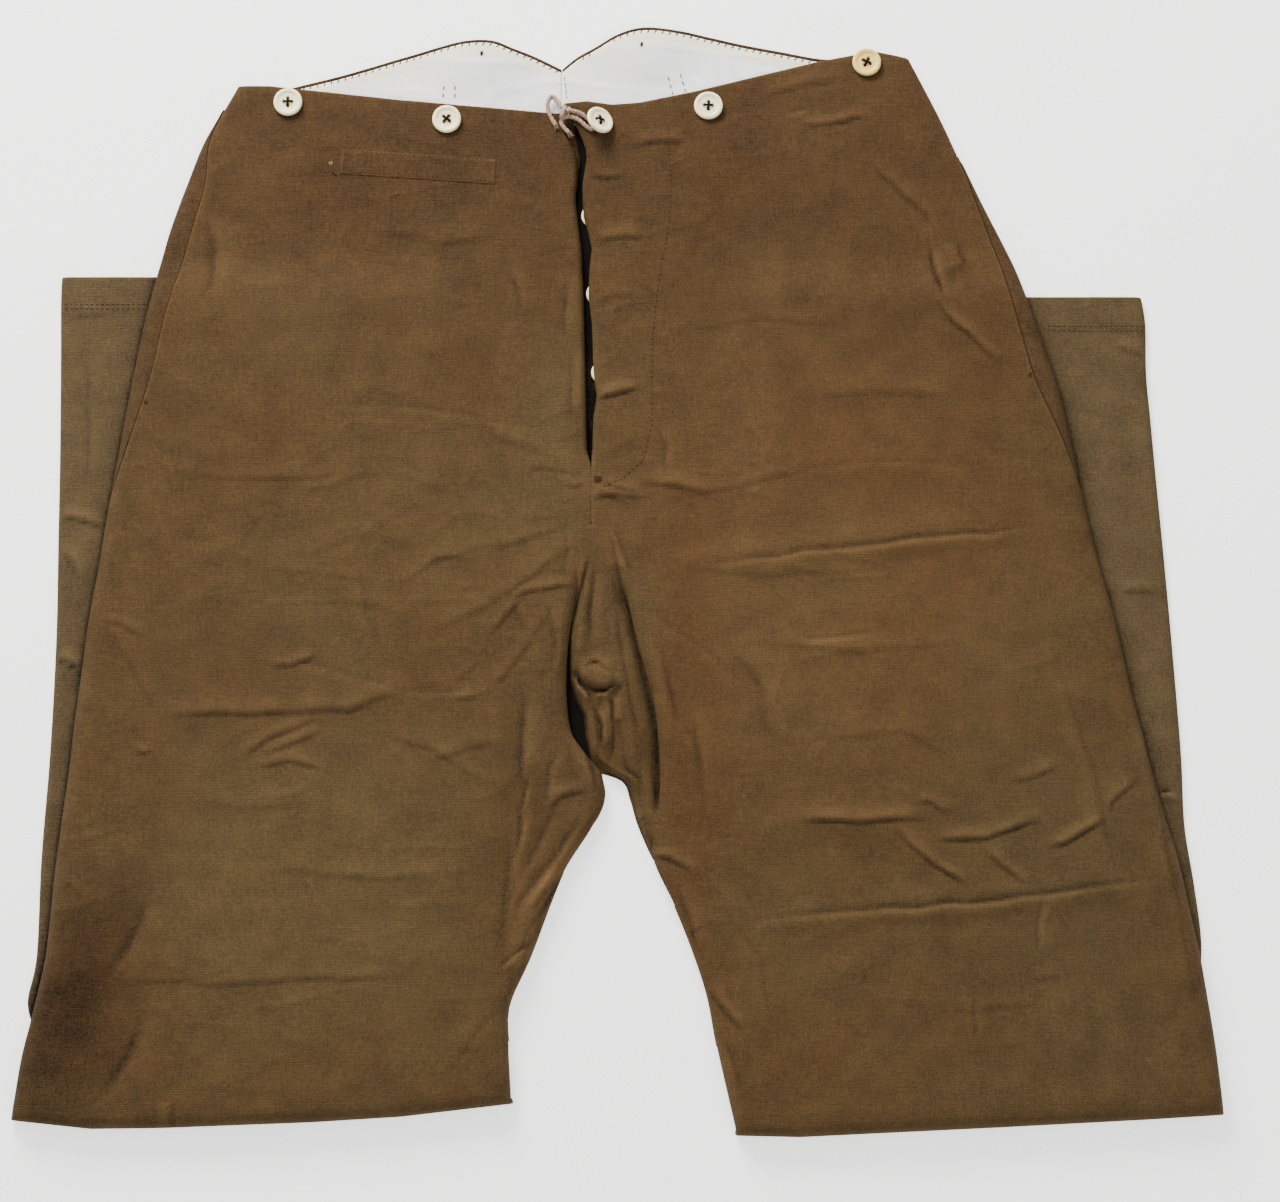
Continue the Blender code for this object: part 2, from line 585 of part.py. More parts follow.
def seat_fork():
    """The fork of the seat, bunched in soft upright tubes, lying on the table between the fronts."""
    rows = [dict(zip(FORK[0], r, strict=True)) for r in (*FORK[1:], *FORK_END[1:])]
    tubes = table(FORK_TUBES)
    lip_out, left_rise, right_rise = FORK_LIPS
    top = []
    for r in rows:
        free = r["y"] < FORK[-1][0]
        left_edge = FORK_FREE_EDGE if free else FORK_EDGE
        line = [(r["left"], left_edge), (r["fold_left"] - lip_out, left_edge + left_rise)]
        span = r["fold_right"] - r["fold_left"]
        for share, height in zip(tubes["share"][1:-1], tubes["height"][1:-1], strict=True):
            line.append((r["fold_left"] + span * share, FORK_EDGE + (r["height"] - FORK_EDGE) * height))
        line += [(r["fold_right"], FORK_EDGE + right_rise), (r["right"], FORK_EDGE)]
        top.append([(x, r["y"], z) for x, z in line])
    top = np.array(top)
    flat = top.copy()
    flat[:, :, 2] = 0
    return solid_between("seat_fork", top, flat, "cloth_olive")


def fly_underlap():
    stand = table(STAND)
    shares = (0, 0.5, 1)
    top = np.array(
        [
            [(x0 + (x1 - x0) * share, y, CLOTH) for share in shares]
            for y, x0, x1 in zip(stand["y"], stand["x0"], stand["x1"], strict=True)
        ]
    )
    flat = top.copy()
    flat[:, :, 2] = 0
    return solid_between("fly_underlap", top, flat, "cloth_brown")


def drop_onto(tree, x, y):
    """The height of a surface at a place, straight down onto it."""
    hit = tree.ray_cast(Vector((x, y, 100.0)), Vector((0, 0, -1.0)))[0]
    return hit.z


def surface_tree(grid):
    flat = [Vector(p) for p in grid.reshape(-1, 3)]
    return BVHTree.FromPolygons(flat, grid_faces(*grid.shape[:2]))


def watch_pocket(tree):
    start, end = (np.array(WATCH_POCKET[k]) for k in ("start", "end"))
    along = (end - start) / np.linalg.norm(end - start)
    across = np.array([-along[1], along[0]])
    length, count = float(np.linalg.norm(end - start)), 13
    under = []
    for share in (0.5, 0.25, 0.0, -0.25, -0.5):
        row = []
        for n in range(count):
            x, y = start + along * length * n / (count - 1) + across * WATCH_POCKET["width"] * share
            row.append((x, y, drop_onto(tree, x, y) + WATCH_POCKET["clear"]))
        under.append(row)
    under = np.array(under)
    over = under + np.array([0, 0, WATCH_POCKET["thickness"]])
    return solid_between("watch_pocket_welt", over, under, "cloth_brown")


def button(name, place, radius, height, material_name="button_ivory", tilt=0.0, turn=0.0):
    """A turned button with a dished face, its underside at a height."""
    profile = table(BUTTON_PROFILE)
    points = [(0.0, 0.0, 0.0)]
    for share, rise in zip(profile["radius"], profile["height"], strict=True):
        for k in range(BUTTON_SIDES):
            angle = 2 * math.pi * k / BUTTON_SIDES
            points.append(
                (radius * share * math.cos(angle), radius * share * math.sin(angle), BUTTON_THICKNESS * rise)
            )
    points.append((0.0, 0.0, BUTTON_THICKNESS * profile["height"][-1]))
    faces = []
    rings = len(profile["radius"])
    for k in range(BUTTON_SIDES):
        m = (k + 1) % BUTTON_SIDES
        faces.append((0, 1 + m, 1 + k))
        for ring in range(rings - 1):
            low, high = 1 + ring * BUTTON_SIDES, 1 + (ring + 1) * BUTTON_SIDES
            faces.append((low + k, low + m, high + m, high + k))
        last = 1 + (rings - 1) * BUTTON_SIDES
        faces.append((last + k, last + m, len(points) - 1))
    made = add_mesh(name, points, faces, material_name)
    made.location = (place[0] * MILLIMETRE, place[1] * MILLIMETRE, height * MILLIMETRE)
    made.rotation_euler = (0, tilt, turn)
    return made


def buttons(right_tree, left_tree):
    for number, (x, y) in enumerate(BRACE_BUTTONS, 1):
        tree = right_tree if x < 0 else left_tree
        reach = BUTTON_RADIUS * BUTTON_BED
        around = [(x + a * reach, y + b * reach) for a, b in ((0, 0), (-1, 0), (1, 0), (0, -1), (0.7, -0.7))]
        height = max(drop_onto(tree, *p) for p in around) + BUTTON_SHANK
        colour = "button_yellow" if number == len(BRACE_BUTTONS) else "button_ivory"
        button(f"brace_button_{number}", (x, y), BUTTON_RADIUS, height, colour)
    x, y = WAIST_BUTTON
    profile = table(BUTTON_PROFILE)
    down = BUTTON_RADIUS * math.sin(WAIST_BUTTON_TILT) * profile["radius"]
    lifted = float(np.max(down - BUTTON_THICKNESS * math.cos(WAIST_BUTTON_TILT) * profile["height"]))
    button(
        "waist_button", (x, y), BUTTON_RADIUS, drop_onto(left_tree, x, y) + lifted + BUTTON_SHANK,
        tilt=WAIST_BUTTON_TILT, turn=WAIST_BUTTON_TURN,
    )
    for number, place in enumerate(FLY_BUTTONS, 1):
        button(f"fly_button_{number}", place, FLY_BUTTON_RADIUS, CLOTH + GAP)
    for side, place in BACK_BUTTONS.items():
        button(f"back_button_{side}", place, BUTTON_RADIUS, 0.0)


def smooth_route(points, spacing):
    """Points along a smooth curve through the route's own points, about a spacing apart."""
    fine = []
    for i in range(len(points) - 1):
        for t in np.linspace(0, 1, 12, endpoint=False):
            fine.append([at_row(points[:, axis], i + t) for axis in range(3)])
    fine.append(points[-1])
    fine = np.array(fine)
    along = np.concatenate([[0], np.cumsum(np.linalg.norm(np.diff(fine, axis=0), axis=1))])
    at = np.linspace(0, along[-1], round(along[-1] / spacing) + 1)
    return np.stack([np.interp(at, along, fine[:, axis]) for axis in range(3)], axis=1)


def waist_string():
    route = smooth_route(np.array(STRING_ROUTE[1:], float), STRING_DIAMETER)
    curve = bpy.data.curves.new("waist_string", "CURVE")
    curve.dimensions = "3D"
    curve.bevel_depth = STRING_DIAMETER / 2 * MILLIMETRE
    curve.bevel_resolution = 2
    curve.use_fill_caps = True
    spline = curve.splines.new("POLY")
    spline.points.add(len(route) - 1)
    for point, place in zip(spline.points, route, strict=True):
        point.co = (*(place * MILLIMETRE), 1)
    curve.materials.append(material("string_cotton"))
    made = bpy.data.objects.new("waist_string", curve)
    bpy.context.collection.objects.link(made)
    return made


def main():
    for old in list(bpy.data.objects):
        bpy.data.objects.remove(old, do_unlink=True)
    trees = {}
    for side in ("right", "left"):
        leg = Leg(side)
        grid = leg.surface()
        trees[side] = surface_tree(grid)
        front(leg, grid)
        hidden_layers(leg, grid)
        back_side(leg)
        lower_leg(leg)
        fishtail(side)
    seat_fork()
    fly_underlap()
    watch_pocket(trees["right"])
    buttons(trees["right"], trees["left"])
    waist_string()


main()
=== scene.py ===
"""Button-fly work trousers in brown cotton, laid flat: the looks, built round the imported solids.

Sizes are in millimetres and become metres when a mesh is made. Right and left are the wearer's.
"""

import math

import bpy
import numpy as np
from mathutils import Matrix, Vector
from mathutils.bvhtree import BVHTree


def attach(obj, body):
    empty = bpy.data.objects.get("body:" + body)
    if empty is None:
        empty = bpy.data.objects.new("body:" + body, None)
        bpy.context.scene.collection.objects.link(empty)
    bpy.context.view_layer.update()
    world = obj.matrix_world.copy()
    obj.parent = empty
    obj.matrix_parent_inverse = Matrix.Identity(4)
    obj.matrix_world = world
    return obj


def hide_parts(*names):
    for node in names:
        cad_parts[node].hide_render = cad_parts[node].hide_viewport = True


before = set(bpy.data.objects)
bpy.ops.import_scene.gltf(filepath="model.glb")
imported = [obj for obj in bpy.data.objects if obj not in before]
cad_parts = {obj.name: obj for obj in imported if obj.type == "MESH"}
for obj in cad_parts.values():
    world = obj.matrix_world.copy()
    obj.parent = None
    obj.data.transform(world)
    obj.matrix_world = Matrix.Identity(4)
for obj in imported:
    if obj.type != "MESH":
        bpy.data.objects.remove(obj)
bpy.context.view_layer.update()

MILLIMETRE = 0.001
FAR = 1e9

# The camera, and the image that it takes
IMAGE = (1280, 1202)
LENS, SENSOR = 74.5, 36.0
CAMERA_AT = (11.99, -283.66, 1483.21)
CAMERA_TILT = math.radians(10)

# Cloth, as in the solids
CLOTH = 1.4
LINING = 1.0
GAP = 0.3
SEAM_GAP = 0.9
OUTER_ROLL = 9.0
KNEE_ROLL = (
    ("out", "height"),
    (0.0, 1.0), (6.5, 0.97), (10.2, 0.86), (12.3, 0.68), (13.0, 0.46), (12.2, 0.22), (10.4, 0.0),
)
KNEE_FOOT = 0.3
KNEE_STEPS = 18
KNEE_WAY = 19.0  # the knee fold goes on in the direction that the cloth has over its last stretch
LEG_LIFT = 4.2
CROWN = 0.9
HEM_LINE = (182.0, 150.0)
COVER_EDGE = 22.0
COVER_TOP_Y = 165.0
LAYER_EDGE = (
    ("inset", "height", "side"),
    (12.0, 0.92, 0.75),
    (1.8, 0.90, 0.60),
    (0.2, 0.64, 0.45),
    (1.7, 0.50, 0.30),
    (0.0, 0.28, 0.15),
    (1.0, 0.00, 0.00),
)
# The hidden block starts so far from the waist and from the side seam, and so far under the front
HIDDEN_FROM_WAIST = 34.0
HIDDEN_FROM_SEAM = 13.0
HIDDEN_UNDER = 0.7
HIDDEN_STEP, HIDDEN_COLUMNS, HIDDEN_RINGS = 6.0, 30, 16
SECTION = (
    "outer_x", "outer_y", "outer_foot", "seam", "outer_lip",
    "inner_x", "inner_y", "inner_foot", "roll", "tuck", "inner_lip", "height",
)
RIGHT_LEG = (
    SECTION,
    (-224, 284, 3.8, 0, 1, -38, 267, 3.6, 2, 13, 0, 5.6),
    (-242, 252, 2.8, 3, 1, -25, 240, 1.9, 3, 13, 0, 6.4),
    (-252, 225, 2.3, 11, 1, -25, 212, 1.9, 3, 13, 0, 7),
    (-260, 200, 3.4, 13, 0.5, -22, 187, 1.9, 3, 13, 0, 7.3),
    (-265, 180, 4.9, 13, 0, -21, 168, 1.9, 3, 13, 0, 7.4),
    (-273, 145, 4.6, 12, 0, -20, 140, 1.9, 3, 13, 0, 7.4),
    (-280, 105, 4.4, 11, 0, -19, 100, 1.9, 3, 13, 0, 7.4),
    (-286, 65, 4.4, 5, 0, -18, 65, 1.9, 3, 13, 0, 7.4),
    (-291, 32, 4.4, 0, 0, -16, 34, 2.7, 3, 13, 0, 7.4),
    (-295, 0, 4.4, 0, 0, -17, 8, 3, 4, 13, 0, 7.6),
    (-300, -34, 4.4, 0, 0, -25, -26, 3.1, 7, 13, 0, 8),
    (-303, -64, 4.4, 0, 0, -29, -60, 3.1, 8, 13, 0, 8),
    (-306, -94, 4.4, 0, 0, -27, -95, 3.1, 8, 13, 0, 8),
    (-308, -120, 4.4, 0, 0, -15, -122, 3.1, 8, 13, 0, 8),
    (-311, -148, 4.4, 0, 0, -12, -145, 3.2, 8, 13, 0, 8),
    (-314, -180, 4.4, 0, 0, -31, -178, 5, 8, 13, 1, 8),
    (-317, -222, 4.4, 0, 0, -48, -222, 5.4, 8, 13, 1, 8),
    (-323, -254, 4.4, 0, 0, -60, -250, 5.4, 8, 13, 1, 8.2),
    (-328, -277, 4.4, 0, 0, -60, -272, 5.4, 8, 13, 1, 8.6),
    (-331, -299, 4.4, 0, 0, -59, -290, 5, 8, 13, 0, 9),
)
LEFT_LEG = (
    SECTION,
    (170, 301, 3.8, 0, 1, -33, 273, 3.8, 2, 18, 0, 5.8),
    (187, 266, 2.8, 0, 1, -21, 246, 4.2, 3, 18, 0, 7.2),
    (200, 238, 2.3, 1.5, 1, -21, 222, 4.7, 3, 18, 0, 8),
    (211, 213, 2.6, 4, 1, -19, 196, 4.7, 3, 18, 0, 8),
    (222, 189, 4.2, 7, 0, -18, 172, 4.7, 3, 18, 0, 8),
    (231, 168, 4.9, 9, 0, -17, 150, 4.7, 3, 18, 0, 8),
    (243, 132, 4.6, 12, 0, -15, 120, 4.7, 3, 18, 0, 8),
    (252, 103, 4.4, 13, 0, -15, 95, 4.7, 3, 18, 0, 8),
    (259, 70, 4.4, 6, 0, -15.5, 68, 3.6, 3, 16, 0, 7.6),
    (265, 36, 4.4, 0, 0, -15.4, 34, 2.7, 3, 13, 0, 7.4),
    (271, 6, 4.4, 0, 0, -5, 8, 3, 4, 13, 0, 7.6),
    (278, -22, 4.4, 0, 0, 4, -20, 3.1, 7, 13, 0, 8),
    (284, -50, 4.4, 0, 0, 11, -50, 3.1, 8, 13, 0, 8),
    (289, -76, 4.4, 0, 0, 19, -78, 3.1, 8, 13, 0, 8),
    (295, -101, 4.4, 0, 0, 22, -102, 3.1, 8, 13, 0, 8),
    (300, -124, 4.4, 0, 0, 23, -126, 3.1, 8, 13, 0, 8),
    (306, -148, 4.4, 0, 0, 21, -147, 3.2, 8, 13, 0, 8),
    (312, -170, 4.4, 0, 0, 19, -168, 4.2, 8, 13, 0, 8),
    (317, -196, 4.4, 0, 0, 31, -195, 5.2, 8, 13, 1, 8),
    (322, -222, 4.4, 0, 0, 41, -220, 5.4, 8, 13, 1, 8),
    (326, -250, 4.4, 0, 0, 49, -245, 5.4, 8, 13, 1, 8.2),
    (329, -274, 4.4, 0, 0, 54, -272, 5.4, 8, 13, 1, 8.6),
    (331, -296, 4.4, 0, 0, 62, -307.5, 5, 8, 13, 0, 9),
)
WAIST_BOW = {
    "right": (("share", "rise"), (0, 0), (0.10, 1.5), (0.5, 0), (1, 0)),
    "left": (
        ("share", "rise"), (0, 0), (0.10, 7), (0.26, 5.2), (0.44, 1), (0.62, -3.2),
        (0.78, -5.6), (0.86, -4.6), (0.93, -0.5), (1, 0),
    ),
}
KNEE_BOW = {
    "right": (
        ("share", "rise"), (0, 0), (0.16, -6), (0.3, -6.8), (0.6, -6.4), (0.78, -5), (1, 0),
    ),
    "left": (
        ("share", "rise"), (0, 0), (0.16, -0.8), (0.46, -1.6), (0.67, -1.9), (0.87, -2.2), (1, 0),
    ),
}
BOW_ROWS = 2.0
FOOT_BLEND = (0.3, 0.7)

# Below the fly the fronts are sewn together: where their edges meet, how far apart, and how high
JOIN_X = -15.8
JOIN_EDGE = -0.35
JOIN_Y = (66.0, 52.0, 10.0, 24.0)
JOIN_FOOT = 6.6
JOIN_FOOT_Y = (66.0, 52.0, -34.0, 20.0)

# How the fly's folded edge wanders between the buttons, to the wearer's left
FLY_EDGE = (
    ("y", "out"), (70, 0), (84, 0.2), (96, 1.9), (106, 0.3), (118, -0.5), (140, 0.2), (155, -0.7),
    (172, 0.5), (184, 2.2), (192, 0.8), (203, -1.5), (222, -0.8), (240, 0.8), (262, 0),
)
# How far the right front's inner edge stands out where the fork goes over into it
INNER_EDGE = (
    ("y", "out"), (-150, 0), (-142, 2), (-131, 5), (-121, 6.2), (-112, 2.8), (-100, 0),
)
COVER_X = {"right": (-94.0, -40.0), "left": (75.0, 45.0)}
KNEE_Y = -305.0
FOLDS = (
    ("x0", "y0", "x1", "y1", "height", "width"),
    (-265, -88, -120, -76, 0.9, 9),
    (-264, -224, -88, -226, 0.8, 9),
    (-66, -75, -70, -168, 1.6, 10),
    (-70, -150, -34, -205, 1.3, 10),
    (-262, 190, -246, 110, -1.3, 12),
    (-60, 175, -54, 100, 0.9, 8),
    (40, 0, 205, 18, 1.4, 9),
    (90, -148, 166, -148, 1.4, 9),
    (146, -152, 186, -186, 1.5, 9),
    (60, -206, 300, -178, 1.3, 9),
    (172, 160, 214, 108, 1.5, 9),
    (180, 196, 190, 166, 1.2, 8),
    (64, 62, 170, 54, 0.8, 9),
)
FOLD_FADE = (-0.15, 0.2)
LOWER_ROLL = 4.6
LOWER_TUCK = 12.0
LOWER_TOP = 3.6
LOWER_FOOT = 0.5
HEM_DEPTH = 17.0
HEM_EASE = 6.0
HEM_STEP = 0.4
HEM_WALL = 0.5
PLY_GAP = 0.1
MOUTH_INSET = 3.4
# The painted shade and the painted dark contact shadow where the thigh covers the lower leg: how wide, and
# how dark each of them is
THIGH_SHADE, THIGH_EDGE = 7.0, 1.9
THIGH_DARK = 0.45
THIGH_LINE = {"right": 1.1, "left": 0.4}
LOWER_LEG = {
    "right": (
        ("outer_x", "y"), (-324, 168), (-324, 151), (-322.5, 110), (-321, 60), (-320, 10), (-319, -45),
        (-320, -110), (-322.5, -168), (-323, -222), (-327, -248), (-322, -264),
    ),
    "left": (
        ("outer_x", "y"), (303, 156), (305, 139), (304.5, 110), (306, 83), (308, 48), (311, 0), (314, -55),
        (316.5, -110), (317, -150), (321, -182), (324, -214), (322, -240),
    ),
}
FISHTAIL = {
    "right": (
        ("x", "top", "bottom"), (-218, 278.5, 257), (-205, 280, 253), (-191, 284.5, 251), (-166, 291, 249),
        (-146, 297, 248), (-127, 303, 247), (-106, 309, 246), (-90, 312.5, 246), (-75, 312.5, 246),
        (-63, 308, 248), (-52, 304, 259), (-43, 300, 262), (-34.2, 295.5, 262),
    ),
    "left": (
        ("x", "top", "bottom"), (-33.8, 295.5, 262), (-25, 303, 262), (-14, 309, 262), (0, 317, 262),
        (15, 320.8, 250), (36, 319, 254), (53, 315.5, 257), (72, 311, 262), (95, 306.5, 268),
        (119, 302, 274), (135, 302.5, 278), (150, 303, 281), (163, 299, 279),
    ),
}
LINING_EDGE = 2.6
# Along its top the lining is creamier: how far down that goes, and how much it is
LINING_FACING = (7.5, 8.5)
LINING_FACED = 1.2
BUTTON_LIFT = 3.5
LIFT_REACH = (44.0, 32.0)
LIFT_TOP = 0.12
FORK = (
    ("y", "left", "fold_left", "fold_right", "right", "height", "edge"),
    (22, -21, -15, -12, -6, 2, 1.8),
    (6, -26, -15.5, -6.5, 4, 4.2, 1.8),
    (-12, -30, -21, 0, 10, 5.4, 1.8),
    (-30, -35, -26, 6, 16, 6, 1.8),
    (-50, -38, -29, 11, 22, 6.4, 1.8),
    (-68, -39, -28, 15, 26, 7.2, 1.8),
    (-84, -38, -25, 19, 31, 7, 1.8),
    (-98, -35, -20, 21.5, 33, 6.8, 1.8),
    (-110, -28, -16.5, 22, 33, 6.4, 1.8),
    (-118, -18, -9.5, 22, 33, 6, 0.5),
    (-125, 1.5, 3.5, 22.5, 34, 5.6, 0.5),
    (-136, 6.5, 8.5, 23, 34, 5.2, 0.5),
    (-148, 10, 12, 21, 31, 4.6, 0.5),
    (-160, 14.9, 16.4, 19, 27, 3.4, 0.5),
    (-169, 19.2, 19.7, 20.6, 25.5, 2.8, 0.5),
)
FORK_EDGE = 1.8
# How much higher still the fork stands at some y
FORK_MORE = ((-160, 0.2), (-125, 0.8), (-84, 1.2), (-50, 1.8), (-12, 2.2), (6, 2.9), (22, 4.2))
# Soft lumps on the fork: middle in image points, half its length and width, its turn and height
FORK_LUMPS = (
    (598, 677, 11, 6.4, -0.35, 4.2),
    (586, 640, 8, 7, 0, 0.8),
    (590, 726, 3.6, 17, 0.1, 1.3),
    (607, 724, 3.2, 16, 0.05, 1.7),
    (628, 720, 4.5, 32, 0.12, 1),
)
# Where the fork's left side stands up from the table, past the shadow beside the right front
FORK_RISES = (
    ("y", "x"), (-169, 0), (-130, -11), (-124, -13.2), (-114, -16.8), (-98, -19.6), (-89, -20.6),
    (-80, -25), (-66, -28.6), (-30, -30), (22, -40),
)
FORK_RISE = 3.2
# At its top the fork goes over into the fronts: from where to where, how far it bridges their edges, and how
# far its own edge sinks into them
FORK_MERGE = (-30.0, 0.0)
FORK_BRIDGE = 3.5
FORK_FOOT = (-130.0, -148.0)
FORK_FOOT_EDGE = 7.0
FORK_SINK = 0.4
FORK_LOW = 0.7
FORK_LEAST = 0.3
# How dark the shadows beside its left side and along its right fold are
FORK_SLIT, FORK_GROOVE = 2.1, 1.5
FORK_TUBES = (("share", "height"), (0.16, 1.0), (0.36, 0.72), (0.54, 1.0), (0.76, 0.86))
FORK_LIPS = (0.4, 0.1, 0.3)
STAND = (
    ("y", "x0", "x1"), (261.5, -38, -14), (254, -37, -8), (238, -36, -5), (205, -34, -4),
    (160, -31, -2), (110, -29, -1), (56, -27.5, -5), (16, -24, -8),
)
STAND_HEAD = (
    ("y", "x0", "x1"), (267.4, -42, -29.8), (264, -42, -27.5), (259, -40, -25.6), (253, -38, -25.2),
    (247, -36, -23.4), (238, -35, -22.2), (228, -34, -23.6), (218, -33, -25.4),
)
STAND_HEAD_TOP = 3.9
STAND_HEAD_DROP = 1.0
BUTTON_RADIUS = 8.4
FLY_BUTTON_RADIUS = 7.0
BUTTON_THICKNESS = 2.4
WAIST_BUTTON_TILT = math.radians(34)
WAIST_BUTTON_TURN = math.radians(24)
BACK_BUTTONS = {"right": (-81.0, 303.5), "left": (13.0, 309.0)}
# Holes and their distance from the middle as shares of the radius, their depth, and the thread's strands
HOLE, HOLE_OUT, HOLE_DEPTH = 0.125, 0.27, 1.1
THREAD_SHIFTS = (-0.384, 0.384, 0.0)
THREAD_RADIUS = 0.36
WATCH_POCKET = {"start": (-163.0, 236.5), "end": (-72.0, 230.5), "width": 16.0}
POCKET_EDGE, POCKET_TOP, POCKET_PLY, POCKET_ROLL = -0.1, 0.6, 0.5, 2.6
STRING_DIAMETER = 2.6
STRING_ROUTE = (
    ("x", "y", "z"),
    (-37.2, 258.8, 7.5), (-39.4, 262.4, 7.45), (-41.2, 266.6, 7.3), (-42, 271, 6.9), (-41.2, 275, 6.4),
    (-39, 276.8, 6.3), (-36.8, 274.2, 7), (-34.4, 270.4, 8.5), (-31.2, 267.6, 9.9), (-27, 266.6, 9.9),
    (-23, 265.6, 9.2), (-19.4, 263.2, 8.5), (-16.4, 260.4, 8.3), (-14.4, 257.8, 8.3), (-16.4, 256, 8.4),
    (-19.6, 258, 8.35), (-22.6, 260.8, 8.35), (-26.2, 263, 8.4), (-30, 263.8, 8.3), (-33.4, 262.6, 8),
    (-33.8, 259.6, 7.6), (-31.8, 256.6, 7.5), (-29.4, 254.2, 7.4),
)

# The back's edge at the side seam: its shares of the seam's inset, then how far it goes on under the front
SIDE_SHARES = np.array([0, 0.02, 0.06, 0.12, 0.2, 0.3, 0.42, 0.56, 0.7, 0.84, 0.93, 0.97, 1.0])
SIDE_UNDER = np.array([0.25, 0.5, 1.2, 2.5, 5.0])
SIDE_DROP = np.array([0.3, 0.9, 1.6, 1.9, 2.0])
SIDE_LEAST = 0.6
SIDE_SLIT = {"right": 0.35, "left": 1.0}

# The string's knot and its frayed ends
KNOT_AT = (-32.0, 265.6, 8.9)
KNOT_RADII = (3.5, 2.0)
KNOT_TURNS = (-0.4, 7.6)
KNOT_DRIFT = (1.5, -0.7, 0.0)
KNOT_POINTS, KNOT_STRAND = 60, 1.3
FRAY_FIBRES = 26
STRING_STEP = 0.5
STRING_TWIST = 1.15

# A stitch: share of its half length, rise and thickness as shares of its radius
STITCH = ((-1, -0.9, 0.3), (-0.75, 0.1, 0.85), (0, 0.55, 1), (0.75, 0.1, 0.85), (1, -0.9, 0.3))
# The lining's dashes in image points, and the back buttons' thread beside each button's middle
LINING_DASHES = {
    "right": ((444, 86, 442.5, 103), (455, 86, 455, 101)),
    "left": ((668, 77, 673, 95), (680, 74, 686.5, 94)),
}
BACK_KNOTS = (((-1.2, 1.4), (1.4, -1.2)), ((-1.0, -1.0), (1.0, 1.6)), ((-0.2, -1.8), (0.1, 1.9)))

# The fine grid
EDGE_STEPS = (0.0, 0.25, 0.6, 1.2, 2.2, 3.6, 5.2, 7.0, 9.0)
FINE = 1.5
FLAT_COLUMNS = 172
LOWER_ROWS, FISHTAIL_ROWS, FORK_ROWS, FORK_COLUMNS, BUTTON_ROWS = 230, 110, 170, 90, 45
LOWER_SHARES = np.concatenate([[0, 0.01, 0.025, 0.05, 0.09, 0.14, 0.2], np.linspace(0.27, 1, 34)])
FISHTAIL_SHARES = np.concatenate([[0, 0.006, 0.014, 0.028, 0.05], np.linspace(0.08, 1, 30)])
EDGE_ROUND = 1.2  # over this distance a ply's raw thickness rounds off
FLAT_EDGE = 7.0  # so near its edges a front's creases fade out
WORN_AND_LIT_EDGE = 1.3  # over this distance a front's edge is lighter: partly wear, partly a painted highlight
SHARP = math.radians(60)

# The cloth that an image point shows, and how faded the cloth is where no shade lies
PIXEL = 0.565
HUE = 0.45


def table(rows):
    """A table's columns by name, from its heading row and its number rows."""
    return dict(zip(rows[0], np.array(rows[1:], float).T, strict=True))


def smooth(low, high, value):
    """From 0 at the low value to 1 at the high one, without a corner."""
    share = np.clip((value - low) / (high - low), 0.0, 1.0)
    return share * share * (3 - 2 * share)


def at_row(column, row):
    """A section column's values at fractional rows, on a smooth curve through the rows."""
    row = np.asarray(row, float)
    i = np.clip(row.astype(int), 0, len(column) - 2)
    t = row - i
    t = t.reshape(t.shape + (1,) * (column.ndim - 1))
    a, b, c, d = (column[np.clip(i + k, 0, len(column) - 1)] for k in (-1, 0, 1, 2))
    return b + 0.5 * t * (c - a + t * (2 * a - 5 * b + 4 * c - d + t * (3 * (b - c) + d - a)))


def curves(rows, count):
    """A table's columns at so many places, on smooth curves through its rows."""
    run = np.linspace(0, len(rows) - 2, count)
    return [at_row(column, run) for column in table(rows).values()]


def rolled(inset, width):
    """How high cloth is, from 0 to 1, that rolls up from an edge over a width."""
    left = 1 - np.clip(inset / width, 0.0, 1.0)
    return np.sqrt(1 - left * left)


def waves(x, y, size, seed):
    """Soft noise from -1 to 1, in lumps of about that size."""
    lattice = np.random.default_rng(seed).uniform(-1, 1, (97, 97))
    u, v = np.asarray(x) / size + 400, np.asarray(y) / size + 400
    i, j = np.floor(u).astype(int), np.floor(v).astype(int)
    s, t = smooth(0, 1, u - i), smooth(0, 1, v - j)
    corner = [[lattice[(i + a) % 97, (j + b) % 97] for b in (0, 1)] for a in (0, 1)]
    low = corner[0][0] * (1 - s) + corner[1][0] * s
    high = corner[0][1] * (1 - s) + corner[1][1] * s
    return low * (1 - t) + high * t


def run_along(points):
    """How far along a line each of its points is."""
    return np.concatenate([[0], np.cumsum(np.linalg.norm(np.diff(points, axis=0), axis=1))])


def spot(u, v, height=9.0):
    """The place on the cloth, in x and y, that the camera sees at an image point."""
    focal = LENS / SENSOR * IMAGE[0]
    a, b = (u - IMAGE[0] / 2) / focal, (IMAGE[1] / 2 - v) / focal
    cos, sin = math.cos(CAMERA_TILT), math.sin(CAMERA_TILT)
    t = (height - CAMERA_AT[2]) / (b * sin - cos)
    return CAMERA_AT[0] + t * a, CAMERA_AT[1] + t * (b * cos + sin)


